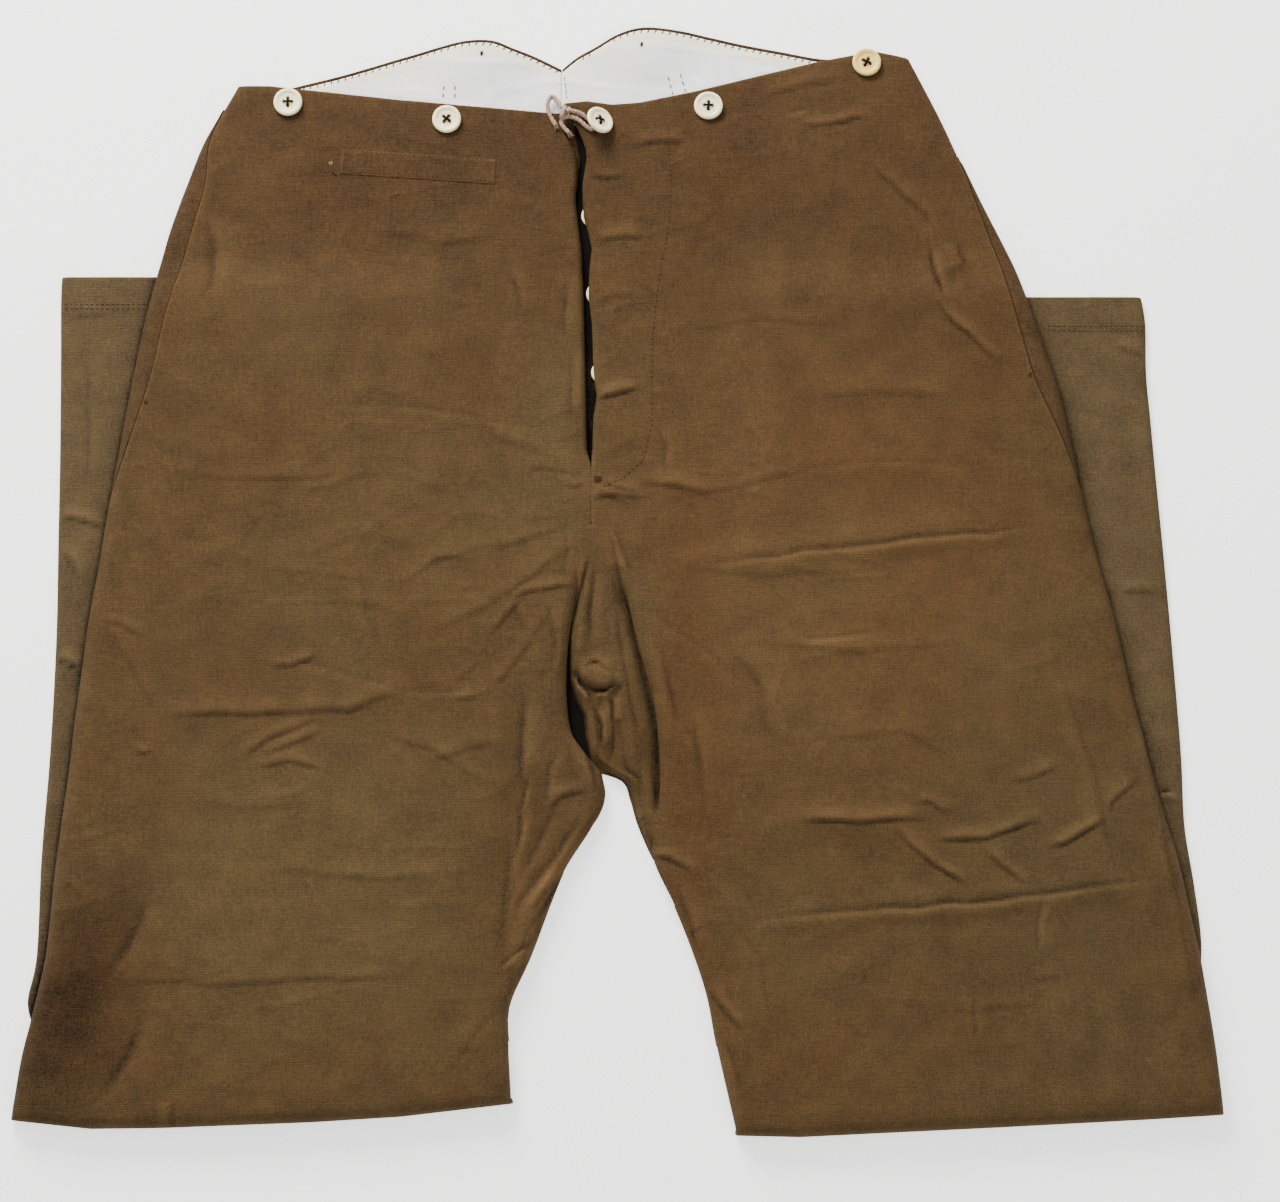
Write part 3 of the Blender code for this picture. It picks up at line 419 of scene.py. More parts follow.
# Creases, as image points along the dark line, then the ridge's height and width, and on which side of the
# line it stands: 1 on the left of the way along the line, -1 on the right
CREASES = (
    # left front
    ((684, 567, 720, 562, 800, 553, 900, 541, 1010, 530, 1060, 528), 1.5, 3.6, -1),
    ((635, 482, 715, 495), 1, 3.2, 1),
    ((580, 500, 615, 496, 650, 499), 0.8, 3, 1),
    ((790, 643, 830, 639, 880, 632), 0.8, 3.5, -1),
    ((785, 824, 830, 824, 880, 823, 935, 819), 1.7, 2.9, 1),
    ((913, 803, 928, 804, 950, 818), 1, 2.3, 1),
    ((890, 824, 908, 846, 934, 868, 972, 892), 1.9, 2.5, 1),
    ((926, 845, 945, 841, 985, 840, 1032, 822, 1050, 829), 1.5, 2.6, 1),
    ((978, 846, 1000, 868, 1030, 891), 1.1, 2.6, 1),
    ((1042, 849, 1064, 844, 1084, 832, 1110, 818), 1.3, 2.5, 1),
    ((1106, 822, 1112, 804, 1132, 786, 1138, 774), 0.8, 2.6, 1),
    ((899, 787, 904, 800), 0.7, 2, 1),
    ((1004, 782, 1030, 780, 1060, 770), 0.7, 3, 1),
    ((725, 926, 780, 918, 840, 912, 940, 904, 1030, 896, 1110, 885, 1180, 875), 1.4, 3.4, -1),
    ((1042, 898, 1036, 925, 1038, 958), 0.9, 2.6, 1),
    ((974, 994, 974, 1015, 977, 1040), 0.6, 2.4, 1),
    ((1030, 982, 1065, 978), 0.5, 3, 1),
    ((929, 243, 932, 264, 939, 286, 945, 306), 1.4, 3, 1),
    ((934, 304, 953, 327, 970, 339, 1003, 370), 1.7, 2.8, 1),
    ((957, 240, 960, 256, 967, 268), 1, 4, -1),
    ((864, 159, 887, 181, 906, 198, 927, 216, 942, 241), 0.8, 3, 1),
    ((630, 147, 660, 142, 690, 142), 0.9, 3.4, 1),
    ((793, 122, 814, 127, 834, 125, 856, 118, 880, 117), 1, 2.4, 1),
    ((782, 112, 794, 110, 809, 105), 1, 2.4, -1),
    ((760, 100, 800, 84, 850, 76), 0.6, 3.4, 1),
    ((800, 402, 870, 396, 960, 398), 0.4, 5, 1),
    ((655, 420, 665, 445, 663, 480), 0.6, 3, 1),
    ((720, 640, 760, 690, 775, 760), 0.5, 7, 1),
    # right front
    ((150, 715, 200, 716, 260, 717, 350, 712, 385, 700, 430, 690), 0.9, 3.4, 1),
    ((268, 669, 292, 668, 322, 656), 1, 2.5, 1),
    ((98, 620, 120, 626, 148, 640), 0.6, 2.6, 1),
    ((504, 602, 530, 592, 560, 588, 582, 590), 0.8, 2.4, 1),
    ((488, 640, 510, 612, 526, 596), 0.6, 2.6, 1),
    ((512, 598, 520, 620, 530, 640), 0.5, 2.4, 1),
    ((450, 702, 480, 699), 0.8, 3, 1),
    ((525, 690, 521, 740, 520, 790), 1.2, 4.5, 1),
    ((517, 860, 508, 920, 500, 980), 1, 4.5, 1),
    ((95, 983, 220, 985, 330, 981, 430, 981), 0.6, 3.6, 1),
    ((152, 888, 132, 935, 100, 985), 0.8, 7, 1),
    ((150, 1012, 130, 1058, 92, 1112), 0.8, 6, 1),
    ((157, 1100, 172, 1102, 184, 1110, 190, 1119), 0.9, 2, -1),
    ((136, 748, 141, 754, 148, 755, 154, 750), 0.8, 1.8, 1),
    ((236, 771, 252, 754, 270, 741, 325, 718), 0.9, 2.8, 1),
    ((258, 760, 290, 747, 326, 733), 0.7, 2.6, 1),
    ((252, 772, 290, 762, 312, 768, 330, 776), 0.7, 2.6, 1),
    ((304, 882, 309, 887, 307, 893), 0.9, 1.4, 1),
    ((590, 800, 560, 850, 520, 905, 505, 960), 1.2, 5, 1),
    ((560, 800, 535, 850, 515, 890), 0.8, 4, 1),
    ((200, 215, 214, 250, 212, 285, 197, 310), 0.9, 6.5, 1),
    ((566, 270, 563, 310, 566, 345), 0.8, 4.5, 1),
    ((573, 340, 570, 385, 574, 425), 0.8, 4, 1),
    ((510, 270, 517, 292, 520, 318), 0.6, 4, 1),
    ((468, 410, 500, 440, 560, 462, 588, 476), 0.5, 5, 1),
    ((300, 560, 360, 540, 430, 548), 0.35, 6, 1),
    ((592, 400, 612, 396, 642, 388), 1.3, 2.6, 1),
    ((590, 244, 612, 240, 652, 237), 0.8, 3, 1),
    ((586, 176, 604, 180, 628, 178), 0.7, 3, 1),
    ((592, 300, 620, 296, 650, 300), 0.4, 3.4, 1),
    ((596, 480, 612, 488, 640, 492), 0.9, 2.6, 1),
    ((592, 486, 606, 496, 630, 506), 0.7, 2.8, 1),
    ((560, 486, 574, 488, 586, 484), 0.7, 2.6, 1),
    ((520, 470, 552, 470, 584, 478), 0.5, 3.4, 1),
    ((612, 520, 620, 545, 634, 575), 0.8, 4, -1),
    ((560, 520, 568, 552, 560, 590), 0.5, 3.6, 1),
    ((545, 600, 556, 640, 550, 680), 0.7, 4, 1),
    ((600, 818, 580, 858, 548, 900), 1.1, 3.2, 1),
    ((588, 842, 556, 886, 532, 938), 1.3, 3.2, -1),
    ((560, 880, 530, 930, 512, 975), 1.1, 2.8, 1),
    ((552, 905, 528, 948, 516, 990), 0.9, 2.8, -1),
    ((530, 800, 512, 860, 506, 905), 0.8, 3.4, 1),
    ((562, 740, 548, 770, 546, 810), 0.8, 3.4, 1),
    ((545, 815, 560, 800, 590, 792), 0.7, 3.4, 1),
    ((644, 854, 668, 861, 702, 879), 1.9, 2.8, 1),
    ((684, 936, 694, 932, 704, 927), 0.6, 2.4, 1),
    ((529, 768, 521, 810, 518, 864), 1.1, 3, 1),
    ((512, 814, 508, 870, 505, 908, 493, 977), 0.9, 2.8, 1),
    ((564, 868, 548, 890, 530, 916), 1.5, 2.6, -1),
    ((533, 943, 515, 955, 498, 970), 1.3, 2.6, 1),
    ((570, 712, 583, 745, 593, 768, 599, 798), 1.3, 2.8, -1),
    ((680, 863, 692, 868, 704, 873), 0.8, 2.4, -1),
    ((676, 880, 688, 920, 700, 960), 0.9, 3.2, 1),
    ((705, 985, 722, 1008, 745, 1035), 1.2, 2.8, 1),
    ((722, 1035, 733, 1062, 740, 1095), 0.9, 3, -1),
    ((690, 700, 700, 760, 705, 830), 0.6, 4, 1),
    ((660, 640, 672, 690, 676, 740), 0.7, 4, -1),
    ((340, 600, 400, 620, 440, 600), 0.35, 6, 1),
    ((420, 770, 470, 750, 516, 745), 0.5, 4, 1),
    ((180, 800, 250, 812, 330, 806), 0.35, 5, 1),
    # faint wrinkles of the right front
    ((250, 652, 330, 668, 400, 692, 470, 690, 530, 674), 0.5, 3.2, -1),
    ((370, 732, 430, 752, 500, 792), 0.45, 3.2, 1),
    ((150, 474, 250, 482, 370, 478), 0.35, 3, 1),
    ((100, 618, 128, 660, 158, 714), 0.45, 3, 1),
    ((300, 402, 420, 408, 556, 430), 0.35, 3.2, -1),
    ((390, 592, 440, 562, 520, 542, 584, 522), 0.5, 3.4, 1),
    ((420, 642, 480, 612, 540, 572, 590, 532), 0.45, 3.2, 1),
    ((484, 704, 524, 654, 556, 604), 0.5, 3.2, 1),
    ((360, 560, 368, 620, 388, 668), 0.4, 3, -1),
    ((236, 880, 300, 872, 380, 884, 470, 878), 0.3, 3.2, 1),
    ((508, 1000, 470, 1040, 440, 1090), 0.4, 3.6, -1),
    ((350, 230, 440, 244, 520, 236), 0.3, 4, 1),
    # faint wrinkles of the left front
    ((640, 604, 700, 644, 764, 704), 0.45, 3.2, -1),
    ((664, 566, 760, 578, 900, 572), 0.35, 3.2, 1),
    ((700, 642, 860, 655, 1000, 642), 0.35, 3.4, 1),
    ((760, 472, 900, 462, 1000, 470), 0.35, 3.4, -1),
    ((1044, 640, 1090, 760, 1120, 900), 0.4, 3.6, -1),
    ((1080, 480, 1118, 600, 1150, 760, 1186, 960, 1206, 1090), 0.5, 2.6, -1),
    ((800, 742, 900, 734, 962, 762), 0.4, 3.2, 1),
    ((690, 330, 760, 322, 850, 330), 0.3, 3.6, 1),
    ((716, 900, 760, 960, 770, 1040), 0.4, 3.6, -1),
    ((860, 1000, 960, 1012, 1060, 1004), 0.3, 3.6, 1),
    ((668, 500, 740, 488, 820, 470), 0.45, 3, 1),
)


# The same for the lower legs and for the fork
LOWER_CREASES = (
    ((1110, 346, 1130, 350, 1148, 357), 0.9, 3, 1),
    ((57, 519, 80, 521, 105, 527), 1.2, 2.8, 1),
    ((55, 660, 66, 663, 80, 669), 1.6, 2.6, 1),
    ((60, 545, 70, 560, 78, 585), 0.8, 3, 1),
    ((87, 330, 88, 420, 86, 500), 0.4, 3.5, 1),
    ((62, 319, 90, 317, 118, 317), 0.4, 3, 1),
    ((1158, 792, 1170, 793, 1182, 795), 2.4, 2, -1),
    ((1116, 594, 1135, 591, 1160, 596), 0.9, 2.6, 1),
)
FORK_CREASES = (
    ((577, 672, 580, 684, 588, 692, 595, 702), 2.4, 2.2, -1),
    ((593, 690, 605, 691, 619, 684), 2.4, 2.2, -1),
    ((611, 540, 620, 575, 630, 612, 636, 640), 1.3, 3, 1),
    ((592, 552, 584, 577, 577, 600, 571, 632), 1.3, 2.4, -1),
    ((604, 520, 612, 540, 617, 560), 0.7, 3, 1),
    ((580, 668, 596, 664, 616, 674), 1.2, 2.6, 1),
    ((597, 707, 599, 716, 602, 727, 600, 750), 1.8, 2.6, 1),
    ((611, 695, 613, 710, 613, 726), 1.6, 2.4, 1),
    ((583, 716, 583, 735, 589, 760, 597, 780), 1.2, 2.4, 1),
    ((637, 821, 648, 816), 0.8, 2, 1),
    ((612, 600, 622, 640, 630, 700, 640, 760), 0.9, 3.5, 1),
    ((595, 560, 592, 600, 590, 650), 0.7, 3, 1),
)


def seen(line, level=8.0):
    """Places on the cloth, at a level, from image points."""
    return [spot(u, v, level) for u, v in zip(line[::2], line[1::2], strict=True)]


def crease_lines(creases, level):
    """Each crease as places on the cloth, with its height, width and side."""
    return [(np.array(seen(line, level)), *rest) for line, *rest in creases]


def creased(x, y, lines):
    """How the creases raise the cloth at some places, and their marks: painted shade in each crease's valley
    (below 0), and a lighter ridge that is partly wear and partly painted highlight.
    """
    height, mark = np.zeros(x.shape), np.zeros(x.shape)
    for points, rise, width, side in lines:
        reach = 5 * width
        low, high = points.min(0) - reach, points.max(0) + reach
        near = (x > low[0]) & (x < high[0]) & (y > low[1]) & (y < high[1])
        if not near.any():
            continue
        px, py = x[near], y[near]
        begin = run_along(points)
        away, along = np.full(px.shape, FAR), np.zeros(px.shape)
        for (ax, ay), (bx, by), start in zip(points[:-1], points[1:], begin[:-1], strict=True):
            length = math.hypot(bx - ax, by - ay)
            dx, dy = (bx - ax) / length, (by - ay) / length
            t = np.clip((px - ax) * dx + (py - ay) * dy, 0, length)
            ex, ey = px - ax - dx * t, py - ay - dy * t
            d = np.hypot(ex, ey)
            signed = d * np.where(dx * ey - dy * ex >= 0, 1, -1)
            closer = d < np.abs(away)
            away = np.where(closer, signed, away)
            along = np.where(closer, start + t, along)
        share = along / begin[-1]
        strength = smooth(0, 0.3, share) * (1 - smooth(0.7, 1.0, share))
        strength *= 1 + 0.3 * waves(along, along * 0 + rise * 50, 16, 5)
        away = (away + 0.3 * width * waves(px, py, 15, 6)) * side
        crest = away - 0.9 * width
        ridge = np.exp(-((crest / np.where(crest > 0, 1.5 * width, 0.75 * width)) ** 2))
        valley = np.exp(-((away / (0.4 * width)) ** 2))
        height[near] += rise * strength * (ridge - valley * 0.5)
        # painted shade in the valley, and a lighter ridge: partly wear, partly painted highlight
        mark[near] += strength * min(rise, 1.4) * (0.5 * ridge - 0.8 * valley)
    return height, mark


FRONT_LINES = crease_lines(CREASES, 9.0)
LOWER_LINES = crease_lines(LOWER_CREASES, 4)
FORK_LINES = crease_lines(FORK_CREASES, 7)


def unevenness(x, y):
    """The small unevenness of laid cotton, with fine wrinkles."""
    soft = 0.45 * waves(x, y, 70, 11) + 0.22 * waves(x, y, 26, 12)
    bend = 10 * waves(x, y, 45, 13)
    across = np.abs(waves(x * 0.45 + bend, y + bend, 17, 14))
    fine = np.abs(waves(x + bend, y * 0.5 - bend, 21, 15))
    small = np.abs(waves(x + y * 0.6, y * 1.3 - x * 0.4 + bend, 12, 16))
    where = smooth(-0.2, 0.6, waves(x, y, 60, 17))
    return soft + where * (0.5 * (1 - across) ** 7 + 0.22 * (1 - small) ** 6) + 0.3 * (1 - fine) ** 8


class Leg:
    """The upper surface of one leg and its half of the seat, from the waist to the knee fold."""

    def __init__(self, side):
        self.side = side
        self.sections = table(RIGHT_LEG if side == "right" else LEFT_LEG)
        self.last = len(self.sections["height"]) - 1
        self.waist_bow, self.knee_bow = table(WAIST_BOW[side]), table(KNEE_BOW[side])
        self.moved = table(FLY_EDGE if side == "left" else INNER_EDGE)
        middle = [(self.sections[f"outer_{k}"] + self.sections[f"inner_{k}"]) / 2 for k in "xy"]
        self.along = run_along(np.transpose(middle))

    def row_at(self, distance):
        return np.interp(distance, self.along, np.arange(self.last + 1))

    def value(self, name, row):
        return at_row(self.sections[name], row)

    def ends(self, row):
        x, y = self.value("inner_x", row), self.value("inner_y", row)
        x = x + np.interp(y, self.moved["y"], self.moved["out"], 0, 0)
        joined = smooth(*JOIN_Y[:2], y) * smooth(*JOIN_Y[2:], y)
        meet = JOIN_X + (JOIN_EDGE if self.side == "left" else -JOIN_EDGE)
        x = x * (1 - joined) + meet * joined
        outer = np.stack([self.value("outer_x", row), self.value("outer_y", row)], -1)
        return outer, np.stack([x, y], -1)

    def inner_foot(self, row):
        y = self.value("inner_y", row)
        joined = smooth(*JOIN_FOOT_Y[:2], y) * smooth(*JOIN_FOOT_Y[2:], y)
        return self.value("inner_foot", row) * (1 - joined) + JOIN_FOOT * joined

    def width(self, row):
        outer, inner = self.ends(row)
        return np.linalg.norm(inner - outer, axis=-1)

    def cover(self, x, y):
        hem_x, knee_x = COVER_X[self.side]
        edge = knee_x + (hem_x - knee_x) * (y - KNEE_Y) / (COVER_TOP_Y - KNEE_Y)
        outwards = (edge - x) if self.side == "right" else (x - edge)
        return smooth(-COVER_EDGE, COVER_EDGE, outwards) * (1 - smooth(HEM_LINE[1], HEM_LINE[0], y))

    def fold_height(self, x, y):
        total = np.zeros(x.shape)
        for x0, y0, x1, y1, height, width in FOLDS[1:]:
            dx, dy = x1 - x0, y1 - y0
            length = math.hypot(dx, dy)
            t = ((x - x0) * dx + (y - y0) * dy) / length**2
            away = np.abs((x - x0) * dy - (y - y0) * dx) / length
            ends = smooth(*FOLD_FADE, t) * smooth(*FOLD_FADE, 1 - t)
            total += height * ends * np.exp(-((away / width) ** 2))
        return total

    def points(self, row, inset, fine=True):
        """Points of the upper surface by section row and distance from the outer edge, and their marks."""
        row, inset = np.broadcast_arrays(np.asarray(row, float), np.asarray(inset, float))
        outer, inner = self.ends(row)
        width = np.linalg.norm(inner - outer, axis=-1)
        share = inset / width
        x, y = np.moveaxis(outer + (inner - outer) * share[..., None], -1, 0)
        waist = np.clip(1 - row / BOW_ROWS, 0, None) ** 2
        y = y + waist * np.interp(share, self.waist_bow["share"], self.waist_bow["rise"])
        knee = np.clip(1 - (self.last - row) / BOW_ROWS, 0, None) ** 2
        y = y + knee * np.interp(share, self.knee_bow["share"], self.knee_bow["rise"])
        inside = self.value("height", row) + LEG_LIFT * self.cover(x, y) + self.fold_height(x, y)
        inside += CROWN * np.sin(math.pi * np.clip(share, 0, 1)) * smooth(0, 2, row)
        foot_share = smooth(*FOOT_BLEND, share)
        foot = (1 - foot_share) * self.value("outer_foot", row) + foot_share * self.inner_foot(row)
        rise = rolled(inset, OUTER_ROLL) * rolled(width - inset, self.value("roll", row))
        z = foot + (inside - foot) * rise
        mark = np.zeros(x.shape)
        if fine:
            bump, mark = creased(x, y, FRONT_LINES)
            ease = smooth(0, FLAT_EDGE, inset) * smooth(0, FLAT_EDGE, width - inset) * smooth(0, 0.5, row)
            z = z + ease * (bump + unevenness(x, y))
        return np.stack([x, y, z], -1), mark


def normals(grid):
    """Unit normals of a grid of points, on its upper side."""
    along, across = np.gradient(grid, axis=0), np.gradient(grid, axis=1)
    n = np.cross(across, along)
    if n[len(n) // 2, n.shape[1] // 2, 2] < 0:
        n = -n
    return n / np.maximum(np.linalg.norm(n, axis=2, keepdims=True), 1e-9)


def edge_distance(grid):
    """How far each point of a grid is from its nearest edge, along the grid's own lines."""
    found = np.full(grid.shape[:2], FAR)
    for axis in (0, 1):
        steps = np.linalg.norm(np.diff(grid, axis=axis), axis=2)
        pad = [(0, 0), (0, 0)]
        pad[axis] = (1, 0)
        run = np.pad(np.cumsum(steps, axis=axis), pad)
        total = run.take([-1], axis=axis)
        found = np.minimum(found, np.minimum(run, total - run))
    return found


def grid_faces(rows, columns, start=0, flip=False):
    i, j = np.meshgrid(np.arange(rows - 1), np.arange(columns - 1), indexing="ij")
    a = (start + i * columns + j).ravel()
    quads = np.stack([a, a + 1, a + columns + 1, a + columns], -1)
    return (quads[:, ::-1] if flip else quads).tolist()


def border(rows, columns):
    """The numbers of a grid's outermost points, once round."""
    numbers = np.arange(rows * columns).reshape(rows, columns)
    sides = numbers[0], numbers[1:, -1], numbers[-1, -2::-1], numbers[-2:0:-1, 0]
    return np.concatenate(sides)


def add_mesh(name, points, faces, look, marks=None, replaced=None):
    """A piece on the body, in place of the solid that it dresses."""
    material, own_slot = LOOKS[look]
    mesh = bpy.data.meshes.new(name)
    mesh.from_pydata((np.asarray(points) * MILLIMETRE).tolist(), [], faces)
    mesh.validate()
    mesh.update()
    mesh.materials.append(material)
    mesh.shade_smooth()
    mesh.set_sharp_from_angle(angle=SHARP)
    for kind, values in (marks or {}).items():
        made = mesh.attributes.new(kind, "FLOAT", "POINT")
        made.data.foreach_set("value", np.resize(np.asarray(values, np.float32), len(points)))
    piece = bpy.data.objects.new(name, mesh)
    bpy.context.collection.objects.link(piece)
    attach(piece, "root")
    if replaced:
        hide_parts(replaced)
    return piece


def closed_wall(name, top, bottom, look, marks=None, replaced=None, step=1):
    """A closed wall between two grids of the same shape, the first on top. The lower one may be coarser."""
    rows, columns = top.shape[:2]
    count = rows * columns
    across, along = top[0, -1] - top[0, 0], top[-1, 0] - top[0, 0]
    flip = bool(np.cross(across, along)[2] < 0)
    low_rows, low_columns = (np.unique([*range(0, size, step), size - 1]) for size in (rows, columns))
    chosen = np.ix_(low_rows, low_columns)
    low_count = len(low_rows), len(low_columns)
    edge, low_edge = border(rows, columns), border(*low_count)
    place = {int(k): n for n, k in enumerate(edge)}
    above = low_rows[low_edge // low_count[1]] * columns + low_columns[low_edge % low_count[1]]
    at = [place[int(k)] for k in above] + [len(edge)]
    ring = np.append(edge, edge[0]).tolist()
    faces = grid_faces(rows, columns, 0, flip) + grid_faces(*low_count, count, not flip)
    for n, low in enumerate(low_edge):
        after = low_edge[(n + 1) % len(low_edge)]
        side = [count + int(low), count + int(after), *ring[at[n] : at[n + 1] + 1][::-1]]
        faces.append(side[::-1] if flip else side)
    points = np.concatenate([top.reshape(-1, 3), bottom[chosen].reshape(-1, 3)])
    marks = {k: np.concatenate([np.ravel(v), np.ravel(v[chosen])]) for k, v in (marks or {}).items()}
    return add_mesh(name, points, faces, look, marks, replaced)


def ply(name, top, thickness, look, marks=None, replaced=None, floor=0.02, step=1):
    """A ply of cloth under its upper surface, with its edges rounded off."""
    n = normals(top)
    thickness = np.broadcast_to(thickness, top.shape[:2])
    kept = (0.25 + 0.75 * rolled(edge_distance(top), EDGE_ROUND)) * thickness
    middle = top - n * thickness[..., None] / 2
    upper, lower = middle + n * kept[..., None] / 2, middle - n * kept[..., None] / 2
    lower[..., 2] = np.maximum(lower[..., 2], floor)
    upper[..., 2] = np.maximum(upper[..., 2], floor + 0.05)
    return closed_wall(name, upper, lower, look, marks, replaced, step)


def tube(points, radii, sides=10, twist=0.0, lobes=0.0):
    """A tube's points and faces along a line, with its section turning like laid string."""
    points = np.asarray(points, float)
    ways = np.gradient(points, axis=0)
    ways /= np.linalg.norm(ways, axis=1, keepdims=True)
    run = run_along(points)
    normal = np.cross(ways[0], (0.3, 0.2, 1.0))
    angles = np.arange(sides) * 2 * math.pi / sides
    cos, sin = np.cos(angles)[:, None], np.sin(angles)[:, None]
    rings = []
    for point, way, at, radius in zip(points, ways, run, radii, strict=True):
        normal = normal - way * normal.dot(way)
        normal /= np.linalg.norm(normal)
        out = radius * (1 - lobes + lobes * np.abs(np.cos(angles - twist * at)))
        rings.append(point + out[:, None] * (cos * normal + sin * np.cross(way, normal)))
    faces = []
    for k in range(len(points) - 1):
        for j in range(sides):
            m = (j + 1) % sides
            faces.append((k * sides + j, k * sides + m, (k + 1) * sides + m, (k + 1) * sides + j))
    faces.append(tuple(range(sides))[::-1])
    faces.append(tuple((len(points) - 1) * sides + j for j in range(sides)))
    return np.concatenate(rings), faces


def bundle(name, tubes, look, marks=None, replaced=None):
    """One piece of many tubes."""
    points, faces, count = [], [], 0
    for verts, sides in tubes:
        points.append(verts)
        faces += [tuple(i + count for i in side) for side in sides]
        count += len(verts)
    return add_mesh(name, np.concatenate(points), faces, look, marks, replaced)


class Nodes:
    """The node tree of a new material, and short ways to add to it."""

    def __init__(self, name):
        self.material = bpy.data.materials.new(name)
        self.material.use_nodes = True
        self.tree = self.material.node_tree
        self.shader = self.tree.nodes["Principled BSDF"]
        self.coords = self.add("TexCoord").outputs["Object"]

    def plug(self, socket, value):
        """An input gets another node's output, or a number or a colour."""
        if isinstance(value, bpy.types.NodeSocket):
            self.tree.links.new(value, socket)
        else:
            socket.default_value = value

    def feed(self, made, **values):
        """A node's inputs, whose names have a capital, and its settings get their values."""
        for name, value in values.items():
            if name[0].isupper():
                self.plug(made.inputs[name.replace("_", " ")], value)
            else:
                setattr(made, name, value)
        return made

    def add(self, kind, **values):
        return self.feed(self.tree.nodes.new(f"ShaderNode{kind}"), **values)

    def maths(self, operation, *values):
        made = self.add("Math", operation=operation)
        for socket, value in zip(made.inputs, values, strict=False):
            self.plug(socket, value)
        return made.outputs[0]

    def times(self, value, factor):
        return self.maths("MULTIPLY", value, factor)

    def plus(self, value, *more):
        for part in more:
            value = self.maths("ADD", value, part)
        return value

    def swing(self, value, factor):
        """Noise from 0 to 1, made to swing round 0."""
        return self.times(self.maths("SUBTRACT", value, 0.5), factor)

    def noise(self, scale, stretch=(1, 1, 1), detail=2.0, rough=0.5):
        mapping = self.add("Mapping", Vector=self.coords, Scale=stretch).outputs["Vector"]
        made = self.add("TexNoise", Vector=mapping, Scale=scale, Detail=detail, Roughness=rough)
        return made.outputs["Fac"]

    def attribute(self, name):
        return self.add("Attribute", attribute_name=name).outputs["Fac"]

    def blend(self, colours, share):
        mix = self.add("Mix", data_type="RGBA", Factor=share)
        for colour, socket in zip(colours, mix.inputs[6:8], strict=True):
            socket.default_value = (*colour, 1)
        return mix.outputs[2]

    def bumps(self, height, strength, depth):
        made = self.add("Bump", Height=height, Strength=strength, Distance=depth)
        self.feed(self.shader, Normal=made.outputs["Normal"])


def cloth(name, colours, streak=0.21, sheen=0.04, weave=0.0009, thread_depth=0.0002):
    """A cotton with wear: two colours that mix in patches, warp and weft threads, nap, and attributes that
    darken or lighten it: painted shade in creases and gaps, painted highlights, wear and patchy colour.
    """
    n = Nodes(name)
    patches, mottle = n.noise(13.0, detail=4.0, rough=0.6), n.noise(60.0, (0.8, 1, 1), 3.0, 0.6)
    grain, warp, weft = n.noise(780.0), n.noise(1.0, (900, 130, 300)), n.noise(1.0, (160, 1000, 300))
    colour = n.blend(colours, n.plus(n.swing(patches, 1.6), n.attribute("hue")))
    value = n.swing(mottle, 3.6 * streak)
    for threads, strength in ((warp, 2.0), (weft, 1.9), (grain, 4.8)):
        value = n.plus(value, n.swing(threads, strength * streak))
    # Painted shade and painted highlight with wear come from one attribute, patchy colour and painted shadows
    # from the other
    value = n.plus(value, n.times(n.attribute("mark"), 0.5), n.attribute("tone"), 1.0)
    value = n.maths("MAXIMUM", value, 0.03)
    colour = n.add("VectorMath", operation="SCALE", Vector=colour, Scale=value).outputs["Vector"]
    n.feed(
        n.shader, Base_Color=colour, Roughness=n.plus(n.times(mottle, 0.12), 0.82),
        Specular_IOR_Level=0.12, Sheen_Weight=sheen, Sheen_Roughness=0.5, Sheen_Tint=(*colours[1], 1),
    )
    bands = [
        n.add(
            "TexWave", wave_type="BANDS", bands_direction=direction, wave_profile="SIN", Vector=n.coords,
            Scale=0.314 / weave, Distortion=1.6, Detail_Scale=2.0,
        ).outputs["Fac"]
        for direction in "XY"
    ]
    n.bumps(n.plus(*bands, n.plus(warp, weft), n.times(grain, 1.5)), 0.55, thread_depth)
    return n.material


def bone(name, colours):
    """Polished bone or casein: clouded, with faint growth lines and a soft gloss."""
    n = Nodes(name)
    cloud, grain = n.noise(160.0, detail=3.0), n.noise(1.0, (1500, 260, 800))
    share = n.maths("SUBTRACT", n.plus(n.times(cloud, 1.4), n.times(grain, 0.6)), 0.55)
    rough = n.plus(n.times(cloud, 0.25), 0.24)
    n.feed(n.shader, Base_Color=n.blend(colours, share), Roughness=rough)
    n.bumps(grain, 0.2, 0.0001)
    return n.material


# Each look's material, and the slot name listed with it
LOOKS = {
    "brown": (cloth("brown_cotton", ((0.062, 0.0325, 0.0122), (0.063, 0.0405, 0.0165))), "cloth_brown"),
    "olive": (cloth("faded_cotton", ((0.058, 0.037, 0.0155), (0.070, 0.048, 0.0225))), "cloth_olive"),
    "lining": (
        cloth("white_lining", ((0.90, 0.91, 0.93), (0.93, 0.89, 0.73)), 0.02, 0.1, 0.0006, 0.00008),
        "lining_white",
    ),
    "thread": (
        cloth("brown_thread", ((0.040, 0.021, 0.009), (0.052, 0.031, 0.014)), 0.1, 0.1), "cloth_brown",
    ),
    "dark_thread": (
        cloth("dark_thread", ((0.010, 0.006, 0.004), (0.018, 0.011, 0.006)), 0.1, 0.1), "cloth_brown",
    ),
    "string": (cloth("string_cotton", ((0.30, 0.21, 0.155), (0.38, 0.29, 0.225)), 0.2, 0.3), "string_cotton"),
    "ivory": (bone("bone_ivory", ((0.97, 0.92, 0.60), (0.90, 0.80, 0.44))), "button_ivory"),
    "yellow": (bone("bone_yellow", ((0.88, 0.64, 0.20), (0.76, 0.48, 0.11))), "button_yellow"),
}
